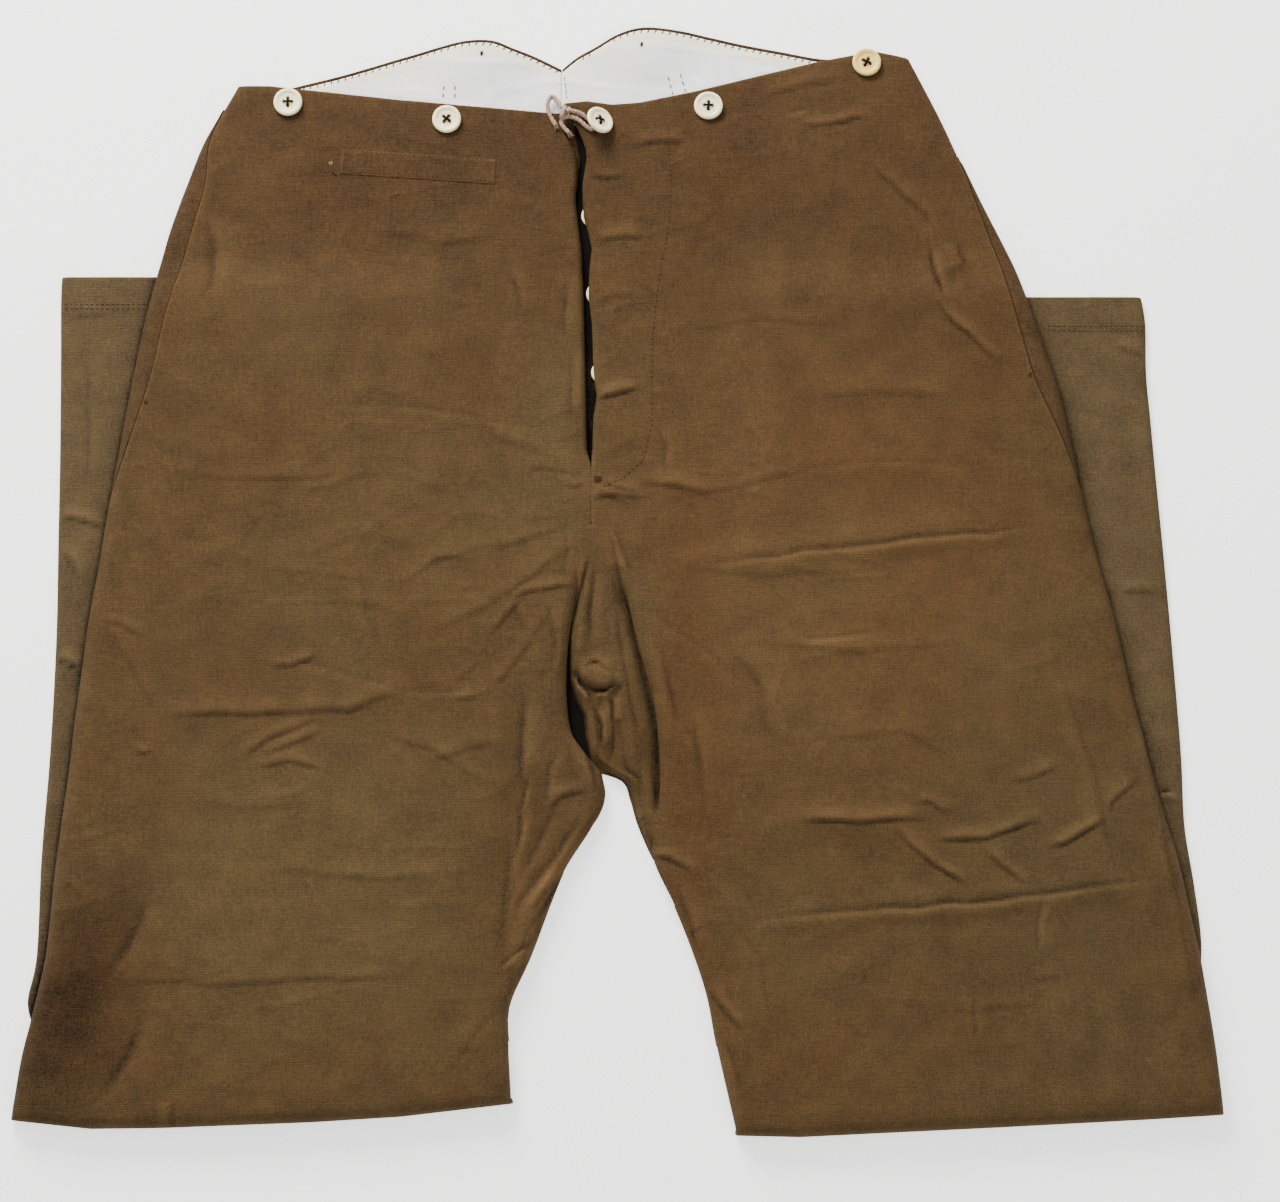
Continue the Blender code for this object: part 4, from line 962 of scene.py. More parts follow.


# Shades laid over the cloth: middle of the patch in image points, its reach, how much lighter (or darker) and
# how much more faded (or browner) it is
SHADES = (
    ("u", "v", "across", "down", "tone", "hue"),
    (400, 150, 260, 120, -0.25, -0.4),
    (800, 150, 240, 120, -0.15, -0.4),
    (330, 900, 180, 170, 0.10, 0.5),
    # The next five patches are a painted cast shadow across the right leg's lower corner
    (118, 905, 34, 46, -0.26, 0),
    (88, 960, 42, 50, -0.30, -0.4),
    (70, 1010, 44, 50, -0.32, -0.3),
    (50, 1075, 50, 60, -0.38, 0.1),
    (120, 1060, 22, 34, -0.14, 0.1),
    (420, 560, 160, 140, 0.05, 0.15),
    (300, 870, 160, 110, 0.05, 0.35),
    (690, 700, 26, 200, 0, -0.9),
    (620, 620, 60, 90, -0.06, 0.2),
    (560, 740, 50, 90, -0.10, 0.2),
    (820, 960, 120, 200, 0.08, 0.1),
    (1080, 900, 110, 260, 0, 0.6),
    (860, 640, 200, 120, 0.22, -0.2),
    (840, 450, 200, 110, 0.15, -0.3),
    (375, 870, 45, 120, 0.07, 0.4),
    (215, 860, 40, 110, 0.06, 0.4),
    (560, 430, 40, 120, 0.03, 0.5),
    (900, 330, 90, 60, -0.05, -0.2),
    (470, 560, 120, 120, 0.06, 0.1),
)


def shades(x, y):
    """How light and how faded the cloth is at some places, with a painted cast shadow on the right leg's
    lower corner.
    """
    tone, hue = np.zeros(x.shape), np.zeros(x.shape)
    for u, v, across, down, light, faded in SHADES[1:]:
        cx, cy = spot(u, v)
        amount = np.exp(-(((x - cx) / (across * PIXEL)) ** 2 + ((y - cy) / (down * PIXEL)) ** 2))
        tone += light * amount
        hue += faded * amount
    return tone, hue + HUE


def marks_for(grid, mark=0.0, tone=0.0, hue=0.0):
    """The attributes that the cloth's material reads, at each point of a grid."""
    light, faded = shades(grid[..., 0], grid[..., 1])
    return {"mark": np.broadcast_to(mark, light.shape), "tone": light + tone, "hue": faded + hue}


def spaced(start, end, step):
    """Places between two ends, about a step apart."""
    return np.linspace(start, end, max(2, round(abs(end - start) / step) + 1))


def leg_columns(leg, rows):
    """Insets for each row: close together near the edges, and even between them."""
    width, seam = leg.width(rows), np.clip(leg.value("seam", rows), 0, None)
    steps = np.array(EDGE_STEPS)
    inner = width[:, None] - steps[::-1][None, :]
    outer = seam[:, None] + steps[None, :]
    shares = np.linspace(0, 1, FLAT_COLUMNS)[1:-1]
    flat = outer[:, -1:] + (inner[:, :1] - outer[:, -1:]) * shares[None, :]
    return np.concatenate([outer, flat, inner], axis=1)


def leg_surface(leg):
    """The front's fine grid, with rows that roll over the knee fold at its end."""
    rows = leg.row_at(np.concatenate([EDGE_STEPS[:5], spaced(4.0, leg.along[-1], FINE)]))
    insets = leg_columns(leg, rows)
    grid, mark = leg.points(rows[:, None], insets)
    plain, _ = leg.points(rows[-1:, None], insets[-1:], fine=False)
    earlier = leg.row_at(leg.along[-1] - KNEE_WAY)
    before, _ = leg.points([[earlier]], leg_columns(leg, np.array([earlier])), fine=False)
    way = (plain[0] - before[0]) * (1, 1, 0)
    way /= np.linalg.norm(way, axis=1, keepdims=True)
    last, rings = grid[-1], []
    for out, height in np.transpose(curves(KNEE_ROLL, KNEE_STEPS + 1))[1:]:
        ring = last + way * out
        ring[:, 2] = KNEE_FOOT + (last[:, 2] - KNEE_FOOT) * height
        rings.append(ring)
    return np.concatenate([grid, rings]), np.concatenate([mark, np.repeat(mark[-1:], KNEE_STEPS, axis=0)])


def tree_of(grid):
    """A grid's surface, ready to drop places onto."""
    places = [Vector(p) for p in grid.reshape(-1, 3)]
    return BVHTree.FromPolygons(places, grid_faces(*grid.shape[:2]))


def drop_onto(tree, x, y):
    """The height of a surface at a place, straight down onto it, or nothing beside it."""
    hit = tree.ray_cast(Vector((x, y, 100.0)), Vector((0, 0, -1.0)))[0]
    return hit.z if hit else None


def make_camera():
    data = bpy.data.cameras.new("camera")
    data.lens, data.sensor_width = LENS, SENSOR
    camera = bpy.data.objects.new("camera", data)
    camera.location = [k * MILLIMETRE for k in CAMERA_AT]
    camera.rotation_euler = (CAMERA_TILT, 0, 0)
    bpy.context.collection.objects.link(camera)
    bpy.context.scene.camera = camera


def smooth_route(points, spacing):
    """A smooth line through points, with its own points evenly spaced."""
    fine = at_row(points, np.linspace(0, len(points) - 1, 12 * (len(points) - 1) + 1))
    along = run_along(fine)
    at = np.linspace(0, along[-1], round(along[-1] / spacing) + 1)
    return np.stack([np.interp(at, along, fine[:, axis]) for axis in range(3)], axis=1)


def waist_string():
    """The string along its route, its knot, and the loose fibres of its two ends."""
    route = smooth_route(np.array(STRING_ROUTE[1:], float), STRING_STEP)
    run = np.arange(len(route)) * STRING_STEP
    radii = STRING_DIAMETER / 2 * (1.05 + 0.07 * waves(run, run * 0, 5, 51))
    laid = tube(route, radii, 16, STRING_TWIST, 0.26)
    piece = bundle("waist_string_laid", [laid], "string", replaced="waist_string")
    turns = np.linspace(*KNOT_TURNS, KNOT_POINTS)[:, None]
    side, up = np.array([0.45, 0.89, 0.0]), np.array([0.0, 0.0, 1.0])
    loop = KNOT_AT + KNOT_RADII[0] * np.cos(turns) * side + KNOT_RADII[1] * np.sin(turns) * up
    loop = loop + np.linspace(-1, 1, KNOT_POINTS)[:, None] * np.array(KNOT_DRIFT)
    strand = tube(loop, np.full(KNOT_POINTS, KNOT_STRAND), 14, STRING_TWIST, 0.24)
    knot = bundle("waist_string_knot", [strand], "string")
    frays, chance = [], np.random.default_rng(52)
    for end, before in ((route[0], route[8]), (route[-1], route[-9])):
        way = (end - before) / np.linalg.norm(end - before)
        for _ in range(FRAY_FIBRES):
            splay = chance.uniform(-1, 1, 3) * (1, 1, 0.5)
            reach = chance.uniform(1.6, 3.6)
            t = np.linspace(0, 1, 7)[:, None]
            line = end - way + splay * 0.6 + way * reach * t + splay * 1.1 * t**1.6
            line[:, 2] = np.maximum(line[:, 2] - 0.6 * t[:, 0] ** 2, end[2] - 1.0)
            frays.append(tube(line, np.linspace(0.2, 0.09, 7), 5))
    fray = bundle("waist_string_ends", frays, "string")


def fronts():
    """Both legs and halves of the seat. Returns the surfaces that later pieces are laid on."""
    trees = {}
    for side in ("right", "left"):
        leg = Leg(side)
        grid, mark = leg_surface(leg)
        trees[side] = tree_of(grid)
        # Lighter along the front's edges: partly wear, partly a painted highlight on the rounded edge
        worn_and_lit = 0.5 * np.exp(-((edge_distance(grid) / WORN_AND_LIT_EDGE) ** 2))
        marks = marks_for(grid, mark + worn_and_lit)
        piece = ply(f"front_{side}_cloth", grid, CLOTH, "brown", marks, f"front_{side}", step=4)
        hidden_layers(leg)
        back_side(leg)
        trees[f"hem_{side}"] = tree_of(lower_leg(leg))
        trees[f"lining_{side}"] = tree_of(fishtail(side))
    return trees


def hidden_layers(leg):
    """The rounded block of hidden cloth: its top lies under the front, and each ring of its side is a step of
    the layered edge's profile, which is plain where the front covers it."""
    rows = leg.row_at(spaced(HIDDEN_FROM_WAIST, leg.along[-1], HIDDEN_STEP))
    start = np.clip(leg.value("seam", rows), 0, None) + HIDDEN_FROM_SEAM
    end = leg.width(rows) - leg.value("tuck", rows)
    insets = start[:, None] + (end - start)[:, None] * np.linspace(0, 1, HIDDEN_COLUMNS)
    grid, _ = leg.points(rows[:, None], insets, fine=False)
    top = grid - normals(grid) * (CLOTH + GAP + HIDDEN_UNDER)
    count, columns = top.shape[:2]
    ring = edge = border(count, columns)
    i, j = edge // columns, edge % columns
    row, here = rows[i], top[i, j]
    full = leg.width(row)
    outer, inner = j == 0, j == columns - 1
    lip, foot = (
        np.where(outer, leg.value(f"outer_{k}", row), leg.value(f"inner_{k}", row)) for k in ("lip", "foot")
    )
    fade = smooth(0, 4, np.minimum(i, count - 1 - i))
    lip = (fade * np.clip(lip, 0, 1) * (outer | inner))[:, None]
    points, quads = [top.reshape(-1, 3)], []
    for inset, height, side in zip(*curves(LAYER_EDGE, HIDDEN_RINGS), strict=True):
        shown, _ = leg.points(row, np.where(outer, inset, full - inset), fine=False)
        shown[:, 2] = foot * height
        new = count * columns + len(quads) * len(edge) + np.arange(len(edge))
        points.append(here * (1, 1, side) * (1 - lip) + shown * lip)
        quads.append(np.stack([ring, new, np.roll(new, -1), np.roll(ring, -1)], -1))
        ring = new
    points, quads = np.concatenate(points), np.concatenate(quads)
    points[:, 2] = np.maximum(points[:, 2], 0)
    right = leg.side == "right"
    faces = grid_faces(count, columns, 0, right) + (quads[:, ::-1] if right else quads).tolist()
    faces.append((ring if right else ring[::-1]).tolist())
    name, marks = f"hidden_layers_{leg.side}", marks_for(points, tone=-0.1)
    piece = add_mesh(f"{name}_cloth", points, faces, "olive", marks, name)


def back_side(leg):
    """The edge of the back that the side seam leaves in sight beside the front."""
    rows = leg.row_at(spaced(0, leg.along[-1], FINE))
    slit = SEAM_GAP * SIDE_SLIT[leg.side]
    shown = rows[leg.value("seam", rows) > slit + SIDE_LEAST]
    seam = (leg.value("seam", shown) - slit)[:, None]
    insets = np.concatenate([seam * SIDE_SHARES, seam + SIDE_UNDER], axis=1)
    grid, _ = leg.points(shown[:, None], insets, fine=False)
    grid[:, len(SIDE_SHARES) :, 2] -= SIDE_DROP
    name, marks = f"back_{leg.side}_side", marks_for(grid, tone=-0.15)
    piece = ply(f"{name}_cloth", grid, CLOTH, "brown", marks, name)


def lower_leg(leg):
    """The lower leg beside the thigh: its back, whose surface is returned, and its front on the table."""
    outline, name = table(LOWER_LEG[leg.side]), f"lower_leg_{leg.side}"
    x_rows, y_rows = curves(LOWER_LEG[leg.side], LOWER_ROWS)
    inwards = 1 if leg.side == "right" else -1
    hem = outline["y"][0]
    head = hem - np.array(EDGE_STEPS[:5])
    keep = y_rows < head[-1] - 1
    y_rows = np.concatenate([head, y_rows[keep]])
    x_rows = np.concatenate([np.interp(-head, -outline["y"], outline["outer_x"]), x_rows[keep]])
    thigh = leg.sections
    inner_x = np.interp(-y_rows, -thigh["outer_y"], thigh["outer_x"]) + inwards * LOWER_TUCK
    width = np.abs(inner_x - x_rows)[:, None]
    at_hem = 1 - smooth(HEM_DEPTH, HEM_DEPTH + HEM_EASE, hem - y_rows)[:, None]
    inset = width * LOWER_SHARES
    x, y = x_rows[:, None] + inwards * inset, np.broadcast_to(y_rows[:, None], inset.shape)
    height = LOWER_FOOT + (LOWER_TOP + HEM_STEP * at_hem - LOWER_FOOT) * rolled(inset, LOWER_ROLL)
    bump, mark = creased(x, y, LOWER_LINES)
    ease = smooth(0, 6, inset) * smooth(0, 8, width - inset)
    upper = np.stack([x, y, height + ease * (bump + 0.4 * unevenness(x, y))], -1)
    beside = width - LOWER_TUCK - inset
    # Painted shade beside the thigh, and a painted dark contact shadow right under its edge
    mark = mark - THIGH_DARK * np.exp(-((beside / THIGH_SHADE) ** 2))
    mark = mark - THIGH_LINE[leg.side] * np.exp(-((beside / THIGH_EDGE) ** 2))
    marks = marks_for(upper, mark, tone=0.02, hue=0.4)
    piece = ply(f"{name}_back_cloth", upper, CLOTH + HEM_WALL * at_hem, "olive", marks, f"{name}_back")
    inset = MOUTH_INSET + (width - MOUTH_INSET) * np.linspace(0, 1, 12)
    x, y = x_rows[:, None] + inwards * inset, np.broadcast_to(y_rows[:, None], inset.shape)
    under = np.stack([x, y, np.full(x.shape, CLOTH - PLY_GAP)], -1)
    marks = marks_for(under, hue=0.3)
    piece = ply(f"{name}_front_cloth", under, CLOTH - PLY_GAP, "olive", marks, f"{name}_front", 0.0)
    return upper


def fishtail_grid(side, inset, height):
    """The back above the front's waist, kept an inset away from its outline, at a height."""
    x_rows, top_rows, bottom_rows = curves(FISHTAIL[side], FISHTAIL_ROWS)
    start, end = x_rows[0] + inset * (side == "right"), x_rows[-1] - inset * (side == "left")
    x = start + (x_rows - x_rows[0]) * (end - start) / (x_rows[-1] - x_rows[0])
    top = (np.interp(x, x_rows, top_rows) - inset)[:, None]
    depth = top - np.interp(x, x_rows, bottom_rows)[:, None]
    y = top - depth * FISHTAIL_SHARES
    x = np.broadcast_to(x[:, None], y.shape)
    button_x, button_y = BACK_BUTTONS[side]
    away = np.hypot((x - button_x) / LIFT_REACH[0], (y - button_y) / LIFT_REACH[1])
    return np.stack([x, y, height + BUTTON_LIFT * (1 - smooth(LIFT_TOP, 1.0, away))], -1)


def fishtail(side):
    """The back above the front's waist, and the lining that lies on it. Returns the lining's surface."""
    grid = fishtail_grid(side, 0, CLOTH)
    name = f"back_{side}_rise"
    piece = ply(f"{name}_cloth", grid, CLOTH, "brown", marks_for(grid, tone=-0.3), name, 0.0)
    grid = fishtail_grid(side, LINING_EDGE, CLOTH + GAP + LINING)
    x, y = grid[..., 0], grid[..., 1]
    under = y[:, :1] - y
    ease = smooth(0, 6, under)
    creases = 0.6 * (1 - np.abs(waves(x * 0.3, y + 0.08 * x, 9, 31))) ** 5
    grid[..., 2] += ease * (creases + 0.15 * waves(x, y, 30, 32))
    # Painted light on the lining's raised wrinkles, a little darker elsewhere, and random lighter and darker
    # spots
    shade = 0.2 * creases - 0.05 + 0.04 * waves(x, y, 24, 33)
    faced = LINING_FACED * (1 - smooth(*LINING_FACING, under))
    marks = {"mark": shade * ease, "tone": 0.0 * under, "hue": faced}
    piece = ply(f"back_{side}_lining_cloth", grid, LINING, "lining", marks, f"back_{side}_lining")
    return grid


def fronts_level(trees, line):
    """The fronts' height along a line of points across them, carried on over the gap between them."""
    heights = []
    for x, y, _ in line:
        found = [h for h in (drop_onto(trees[side], x, y) for side in ("left", "right")) if h is not None]
        heights.append(max(found, default=np.nan))
    heights, x = np.array(heights), line[:, 0]
    gap = np.isnan(heights)
    if gap.any():
        gap = (x > x[gap].min() - FORK_BRIDGE) & (x < x[gap].max() + FORK_BRIDGE)
    return np.interp(x, x[~gap], heights[~gap])


def fork_net():
    """The fork's few lines across, each from its left edge over the tubes of its folds to its right edge."""
    f, tubes = table(FORK), table(FORK_TUBES)
    lip_out, left_rise, right_rise = FORK_LIPS
    lines = []
    for y, left, fold_left, fold_right, right, height, edge in zip(*f.values(), strict=True):
        height = height + np.interp(y, *zip(*FORK_MORE, strict=True))
        line = [(left, edge), (fold_left - lip_out, edge + left_rise)]
        for share, part in zip(tubes["share"], tubes["height"], strict=True):
            x = fold_left + (fold_right - fold_left) * share
            line.append((x, FORK_EDGE + (height - FORK_EDGE) * part))
        line += [(fold_right, FORK_EDGE + right_rise), (right, FORK_EDGE)]
        lines.append([(x, y, z) for x, z in line])
    return np.array(lines)


def seat_fork(trees):
    """The fork of the seat, bunched in soft upright tubes, lying on the table between the fronts."""
    net = fork_net()
    grid = at_row(net, np.linspace(0, len(net) - 1, FORK_ROWS))
    columns = np.linspace(0, net.shape[1] - 1, FORK_COLUMNS)
    grid = np.stack([at_row(line, columns) for line in grid])
    x, y = grid[..., 0], grid[..., 1]
    bump, mark = creased(x, y, FORK_LINES)
    ease = smooth(0, 3, edge_distance(grid))
    for u, v, across, down, turn, height in FORK_LUMPS:
        cx, cy = spot(u, v, 8)
        along = (x - cx) * math.cos(turn) + (y - cy) * math.sin(turn)
        over = (y - cy) * math.cos(turn) - (x - cx) * math.sin(turn)
        away = (along / across) ** 2 + (over / down) ** 2
        lump = np.exp(-(away**2.5))
        # Each lump gets painted light on its top and painted shade along the rim of its lower side
        below = np.exp(-(((away - 1.45) / 0.45) ** 2)) * smooth(0.5, -0.5, over / down)
        bump = bump + height * lump
        mark = mark + 0.1 * height * lump - 0.3 * height * below
    grid[..., 2] = np.maximum(grid[..., 2] + ease * (bump + 0.3 * waves(x, y, 9, 41)), FORK_LEAST)

    rises, f = table(FORK_RISES), table(FORK)
    stands = smooth(0, FORK_RISE, x - np.interp(y, rises["y"], rises["x"]))
    grid[..., 2] = FORK_LOW + (grid[..., 2] - FORK_LOW) * stands
    # Painted shadows: where the fork lies low beside the right front's edge, and along its right fold
    mark = mark - FORK_SLIT * (1 - stands)
    right = np.interp(y, f["y"][::-1], f["fold_right"][::-1])
    open_side = smooth(-4, -40, y) * smooth(FORK_FOOT[1], FORK_FOOT[0], y)
    mark = mark - FORK_GROOVE * np.exp(-(((x - right + 1.0) / 2.6) ** 2)) * open_side

    merged = smooth(*FORK_MERGE, y) + smooth(*FORK_FOOT, y) * smooth(0, FORK_FOOT_EDGE, x - x[:, :1])
    above = merged.max(axis=1) > 0
    level = np.array([fronts_level(trees, line) for line in grid[above]])
    over = level - FORK_SINK + 1.6 * FORK_SINK * smooth(0, 4, edge_distance(grid))[above]
    grid[above, :, 2] += (over + 0.5 * (bump * ease)[above] - grid[above, :, 2]) * merged[above]
    mark = mark + merged * creased(x, y, FRONT_LINES)[1]
    marks = marks_for(grid, mark, tone=-0.02)
    piece = closed_wall("seat_fork_cloth", grid, grid * (1, 1, 0), "brown", marks, "seat_fork")


def stand_grid(rows, count, columns):
    """A strip of the button stand: its points' x and y, and how far they are from its x1 edge."""
    y, x0, x1 = (column[:, None] for column in curves(rows, count))
    x = x0 + (x1 - x0) * np.linspace(0, 1, columns)
    return x, np.broadcast_to(y, x.shape), x1 - x


def fly_underlap():
    """The button stand under the fly, painted nearly black as the shadow deep in the gap between the fronts,
    and its corner that turns up above the waist button.
    """
    x, y, _ = stand_grid(STAND, 100, 14)
    grid = np.stack([x, y, np.full(x.shape, CLOTH)], -1)
    # The stand is painted nearly black: a painted shadow for the deep gap between the fronts
    piece = ply("fly_underlap_cloth", grid, CLOTH, "brown", marks_for(grid, tone=-1.0), "fly_underlap", 0.0)
    x, y, inset = stand_grid(STAND_HEAD, 24, 20)
    top = STAND_HEAD_TOP - STAND_HEAD_DROP * smooth(262, 240, y)
    grid = np.stack([x, y, top + 0.6 * smooth(-30, -40, x) - 1.2 * (1 - rolled(inset, 3.0))], -1)
    # Darker all over, with painted shade where the corner rounds off into the gap's shadow
    shaded = -0.12 - 0.45 * (1 - smooth(0, 4, inset)) * smooth(264, 256, y)
    piece = ply("fly_underlap_corner", grid, 0.9, "brown", marks_for(grid, tone=shaded), floor=0.0)


def edged(length, ends, count):
    """Places along a length, close together at its ends."""
    near = np.array([0, 0.25, 0.6, 1.2])
    return np.concatenate([near, np.linspace(ends, length - ends, count), length - near[::-1]])


def watch_pocket(trees):
    """The watch pocket's welt, which lies on the right front."""
    start, end, width = (np.array(WATCH_POCKET[k]) for k in ("start", "end", "width"))
    length = float(np.linalg.norm(end - start))
    along = (end - start) / length
    across = np.array([-along[1], along[0]])
    s, t = edged(length, 2.4, 60), width / 2 - edged(width, 2, 12)
    grid = np.zeros((len(t), len(s), 3))
    for i, b in enumerate(t):
        for j, a in enumerate(s):
            x, y = start + along * a + across * b
            grid[i, j] = (x, y, drop_onto(trees["right"], x, y))
    grid[..., 2] += POCKET_EDGE + (POCKET_TOP - POCKET_EDGE) * rolled(edge_distance(grid), POCKET_ROLL)
    trees["pocket"] = tree_of(grid)
    # Lighter along the welt's edges, partly wear and partly a painted highlight, and lighter towards its
    # right end
    worn_and_lit = 0.5 * np.exp(-(((edge_distance(grid) - 1.2) / 0.8) ** 2))
    worn_and_lit = worn_and_lit + 0.25 * smooth(length - 18, length - 8, s)
    marks = marks_for(grid, worn_and_lit)
    piece = ply("watch_pocket_cloth", grid, POCKET_PLY, "brown", marks, "watch_pocket_welt")


def stitches(name, lines, tree, length, gap, radius, look="thread", slant=0.0, least=0.0, slot=None):
    """Rows of short stitches on the cloth along lines of places, each a small rounded strand."""
    strands = []
    turn = np.array([[math.cos(slant), -math.sin(slant)], [math.sin(slant), math.cos(slant)]])
    for line in lines:
        line = np.array(line, float)
        along = run_along(line)
        for begin in np.arange(0, along[-1] - 0.7 * length, length + gap):
            a, b = (
                np.array([np.interp(k, along, line[:, axis]) for axis in (0, 1)])
                for k in (begin, begin + length)
            )
            middle, half = (a + b) / 2, turn @ ((b - a) / 2)
            if any(drop_onto(tree, *(middle + half * t)) is None for t in (-1, 0, 1)):
                continue
            strand = []
            for t, rise, _ in STITCH:
                x, y = middle + half * t
                strand.append((x, y, max(drop_onto(tree, x, y), least) + radius * rise))
            strands.append(tube(strand, [radius * share for _, _, share in STITCH], 6))
    bundle(name, strands, look, {"mark": 0.0, "tone": 0.0, "hue": 0.4})


def sewing(trees):
    """The stitching that shows: fly, bar tacks, watch pocket and hems."""
    left, right, pocket = trees["left"], trees["right"], trees["pocket"]
    fly = (668, 126, 671, 180, 669, 225, 658, 285, 652, 340, 652, 425, 643, 460, 622, 479, 600, 488)
    stitches("fly_stitching", [seen(fly)], left, 2.3, 0.9, 0.24)
    for name, tree, (u, v, across, down), count, step, sizes in (
        ("fly_bar_tack", left, (593, 476, 12, 1), 6, 1.1, (5.5, 0.6, 0.22)),
        ("pocket_bar_tack_left", left, (1027, 375, 14, 2), 4, 1, (2.4, 0.3, 0.2)),
        ("pocket_bar_tack_right", right, (140, 401, 12, 2), 4, 1, (2.4, 0.3, 0.2)),
    ):
        tacks = [seen((u, v + k * step, u + across, v + down + k * step)) for k in range(count)]
        stitches(name, tacks, tree, *sizes)
    rows = [seen((341, 150, 400, 154, 490, 159)), seen((349, 172, 400, 175, 494, 181))]
    stitches("watch_pocket_stitching", rows, pocket, 1.9, 0.9, 0.17, least=6.0)
    bars = [seen((329, 162, 331, 166)), seen((331, 161, 332.5, 165))]
    stitches("watch_pocket_bar_tack_light", bars, right, 2.2, 0.2, 0.3, "string", slot="cloth_brown")
    bars = [seen((331, 172, 338, 176)), seen((332, 173, 339, 177))]
    stitches("watch_pocket_bar_tack_dark", bars, right, 3.6, 0.2, 0.24, "dark_thread")
    for side, levels, start, end in (("right", (304, 308.5), 59, 148), ("left", (326, 330.5), 1047, 1144)):
        rows = [seen((start, v, (start + end) / 2, v + 0.5, end, v), 4) for v in levels]
        stitches(f"hem_stitching_{side}", rows, trees[f"hem_{side}"], 2.1, 0.9, 0.2, slot="cloth_olive")


def lining_details(trees):
    """The lining's hand sewing: slanted stitches that hold its edge, dashes, and the back buttons' thread."""
    for side, ends in (("right", (0.6, 1.25)), ("left", (0.25, 1.6))):
        outline, tree = table(FISHTAIL[side]), trees[f"lining_{side}"]
        run = np.linspace(ends[0], len(outline["x"]) - ends[1], 90)
        edge = np.stack([at_row(outline["x"], run), at_row(outline["top"], run) - LINING_EDGE - 0.9], -1)
        stitches(f"lining_{side}_felling", [edge], tree, 2.0, 2.2, 0.32, "dark_thread", 0.9)
    for side, dashes in LINING_DASHES.items():
        tree = trees[f"lining_{side}"]
        lines = [seen(line, 3) for line in dashes]
        stitches(f"lining_{side}_dashes", lines, tree, 2.8, 1.8, 0.34, "dark_thread")
        if side == "left":
            seam = seen((563.5, 70, 565, 84, 567, 99), 3)
            stitches("lining_centre_seam", [seam], tree, 3.4, 0.5, 0.26)
        knots = np.array(BACK_KNOTS) + BACK_BUTTONS[side]
        stitches(f"back_button_{side}_thread", knots, tree, 3.2, 1.0, 0.4, "dark_thread")


def disc(count):
    """A grid of points on a disc of radius 1, even all over."""
    a, b = np.meshgrid(np.linspace(-1, 1, count), np.linspace(-1, 1, count), indexing="ij")
    return a * np.sqrt(1 - b * b / 2), b * np.sqrt(1 - a * a / 2)


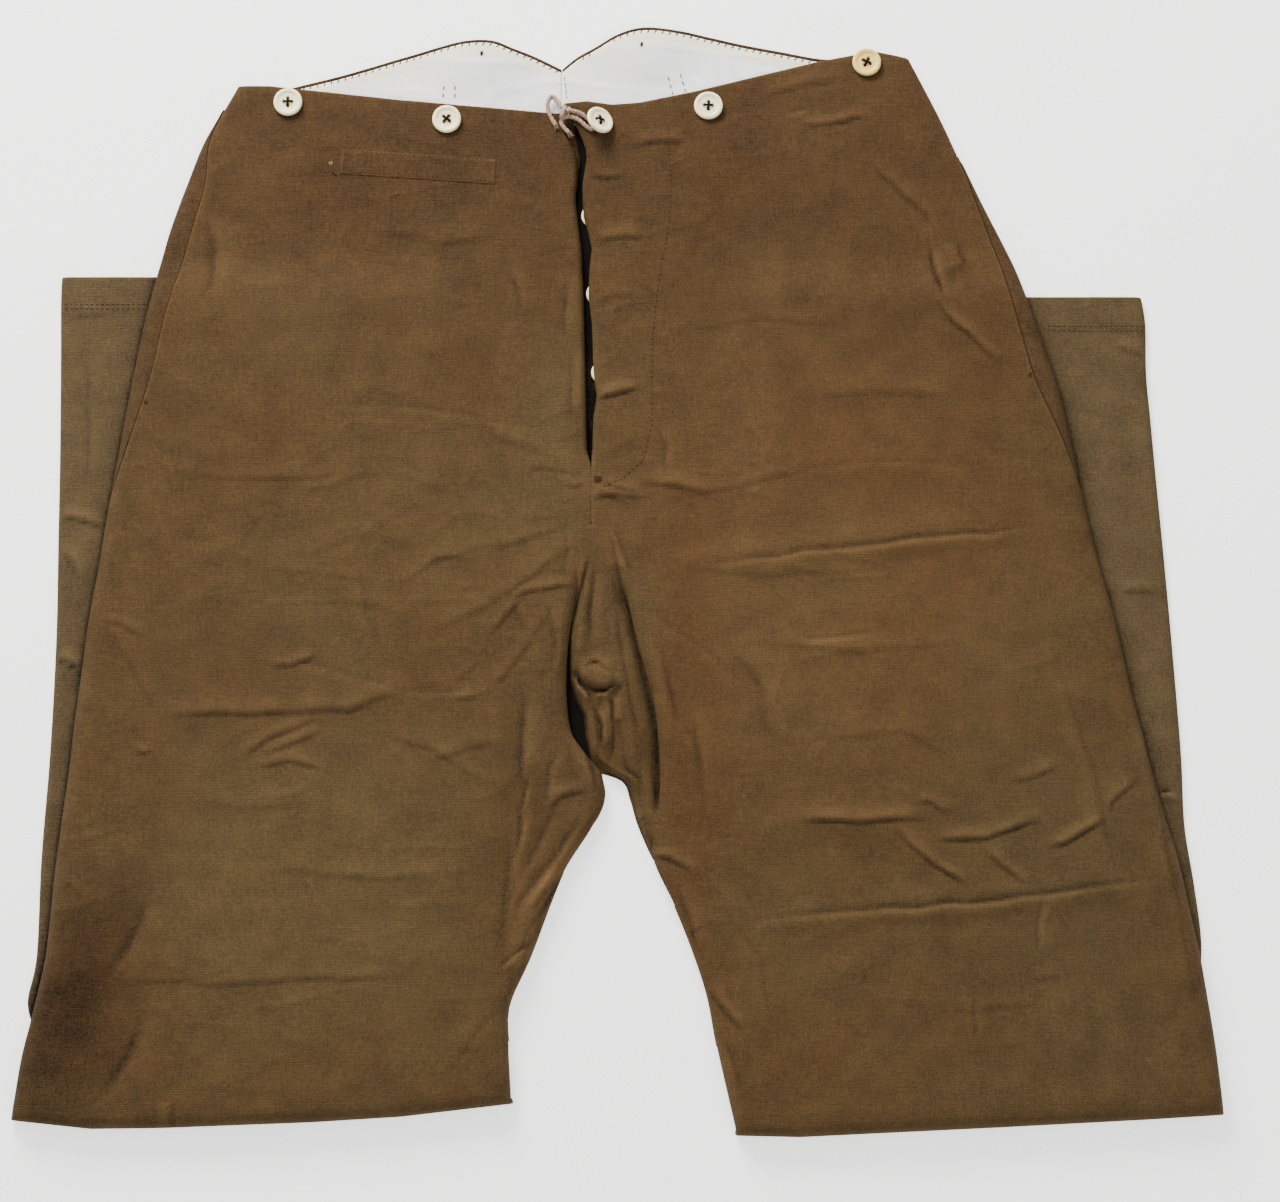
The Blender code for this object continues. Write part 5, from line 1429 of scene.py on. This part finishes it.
def button(node, radius, look, turn=0.0):
    """A four-hole button with a dished face and a cross of thread, where its solid is."""
    corners = np.array([v.co for v in bpy.data.objects[node].data.vertices])
    middle = (corners.max(0) + corners.min(0)) / 2
    x, y = disc(BUTTON_ROWS)
    r = np.hypot(x, y)
    rim = np.where(r > 0.9, np.sqrt(np.clip(1 - ((r - 0.9) / 0.1) ** 2, 0, 1)), 1.0)
    face = 1.0 - 0.30 * (1 - smooth(0.60, 0.80, r)) + 0.05 * (1 - smooth(0.0, 0.5, r))
    top = BUTTON_THICKNESS * (0.45 + (face - 0.45) * rim)
    bottom = BUTTON_THICKNESS * (0.45 - 0.45 * rim)
    for k in range(4):
        angle = turn + math.pi / 4 + k * math.pi / 2
        d = np.hypot(x - HOLE_OUT * math.cos(angle), y - HOLE_OUT * math.sin(angle))
        top = top - HOLE_DEPTH * (1 - smooth(HOLE * 0.75, HOLE * 1.25, d))
    upper, lower = (np.stack([x * radius, y * radius, z], -1) for z in (top, bottom))
    piece = closed_wall(f"{node}_turned", upper, lower, look, None, node)
    strands = []
    for k in (0, 1):
        angle = turn + math.pi / 4 + k * math.pi / 2
        cos, sin = math.cos(angle), math.sin(angle)
        for shift in THREAD_SHIFTS:
            line = []
            for t in np.linspace(-1, 1, 11):
                along = t * HOLE_OUT * 1.2 * radius
                high = BUTTON_THICKNESS * 0.72 + 0.6 * (1 - t**4) + 0.22 * k - (0.8 if abs(t) == 1 else 0)
                line.append((along * cos - shift * sin, along * sin + shift * cos, high))
            strands.append(tube(line, [THREAD_RADIUS] * len(line), 8, 3.0, 0.2))
    thread = bundle(f"{node}_thread", strands, "dark_thread")
    for made in (piece, thread):
        made.location = (middle[0], middle[1], corners[:, 2].min())
        if node == "waist_button":
            made.rotation_euler = (0, WAIST_BUTTON_TILT, WAIST_BUTTON_TURN)
            bpy.context.view_layer.update()
            up = made.matrix_world.to_3x3() @ Vector((0, 0, BUTTON_THICKNESS / 2 * MILLIMETRE))
            made.location = Vector(middle) - up


def buttons():
    for number, turn in enumerate((0.78, 0.1, 0.74, 0.3), 1):
        button(f"brace_button_{number}", BUTTON_RADIUS, "yellow" if number == 4 else "ivory", turn)
    button("waist_button", BUTTON_RADIUS, "ivory", 0.4)
    for number in (1, 2, 3):
        button(f"fly_button_{number}", FLY_BUTTON_RADIUS, "ivory", 0.2)
    for side in ("right", "left"):
        button(f"back_button_{side}", BUTTON_RADIUS, "ivory", 0.5)


def floor_and_light():
    bpy.ops.mesh.primitive_plane_add(size=8.0, location=(0, 0, -0.0005))
    floor = bpy.context.object
    floor.name = "floor"
    n = Nodes("floor")
    n.feed(n.shader, Base_Color=(0.92, 0.92, 0.92, 1), Roughness=0.9)
    n.feed(n.shader, Emission_Color=(1, 1, 1, 1), Emission_Strength=1.1)
    floor.data.materials.append(n.material)
    world = bpy.data.worlds.new("studio")
    bpy.context.scene.world = world
    world.use_nodes = True
    n.feed(world.node_tree.nodes["Background"], Color=(1.0, 0.99, 0.97, 1), Strength=0.78)
    for name, energy, size, place in (
        ("key", 118, 0.9, (-0.75, 1.75, 1.0)), ("fill", 30, 2.4, (0.9, -1.2, 2.2)),
    ):
        data = bpy.data.lights.new(name, "AREA")
        data.energy, data.size, data.color = energy, size, (1.0, 0.97, 0.92)
        lamp = bpy.data.objects.new(name, data)
        lamp.location = place
        lamp.rotation_euler = (-Vector(place)).to_track_quat("-Z", "Y").to_euler()
        bpy.context.collection.objects.link(lamp)


make_camera()
waist_string()
trees = fronts()
seat_fork(trees)
fly_underlap()
watch_pocket(trees)
sewing(trees)
lining_details(trees)
buttons()
floor_and_light()
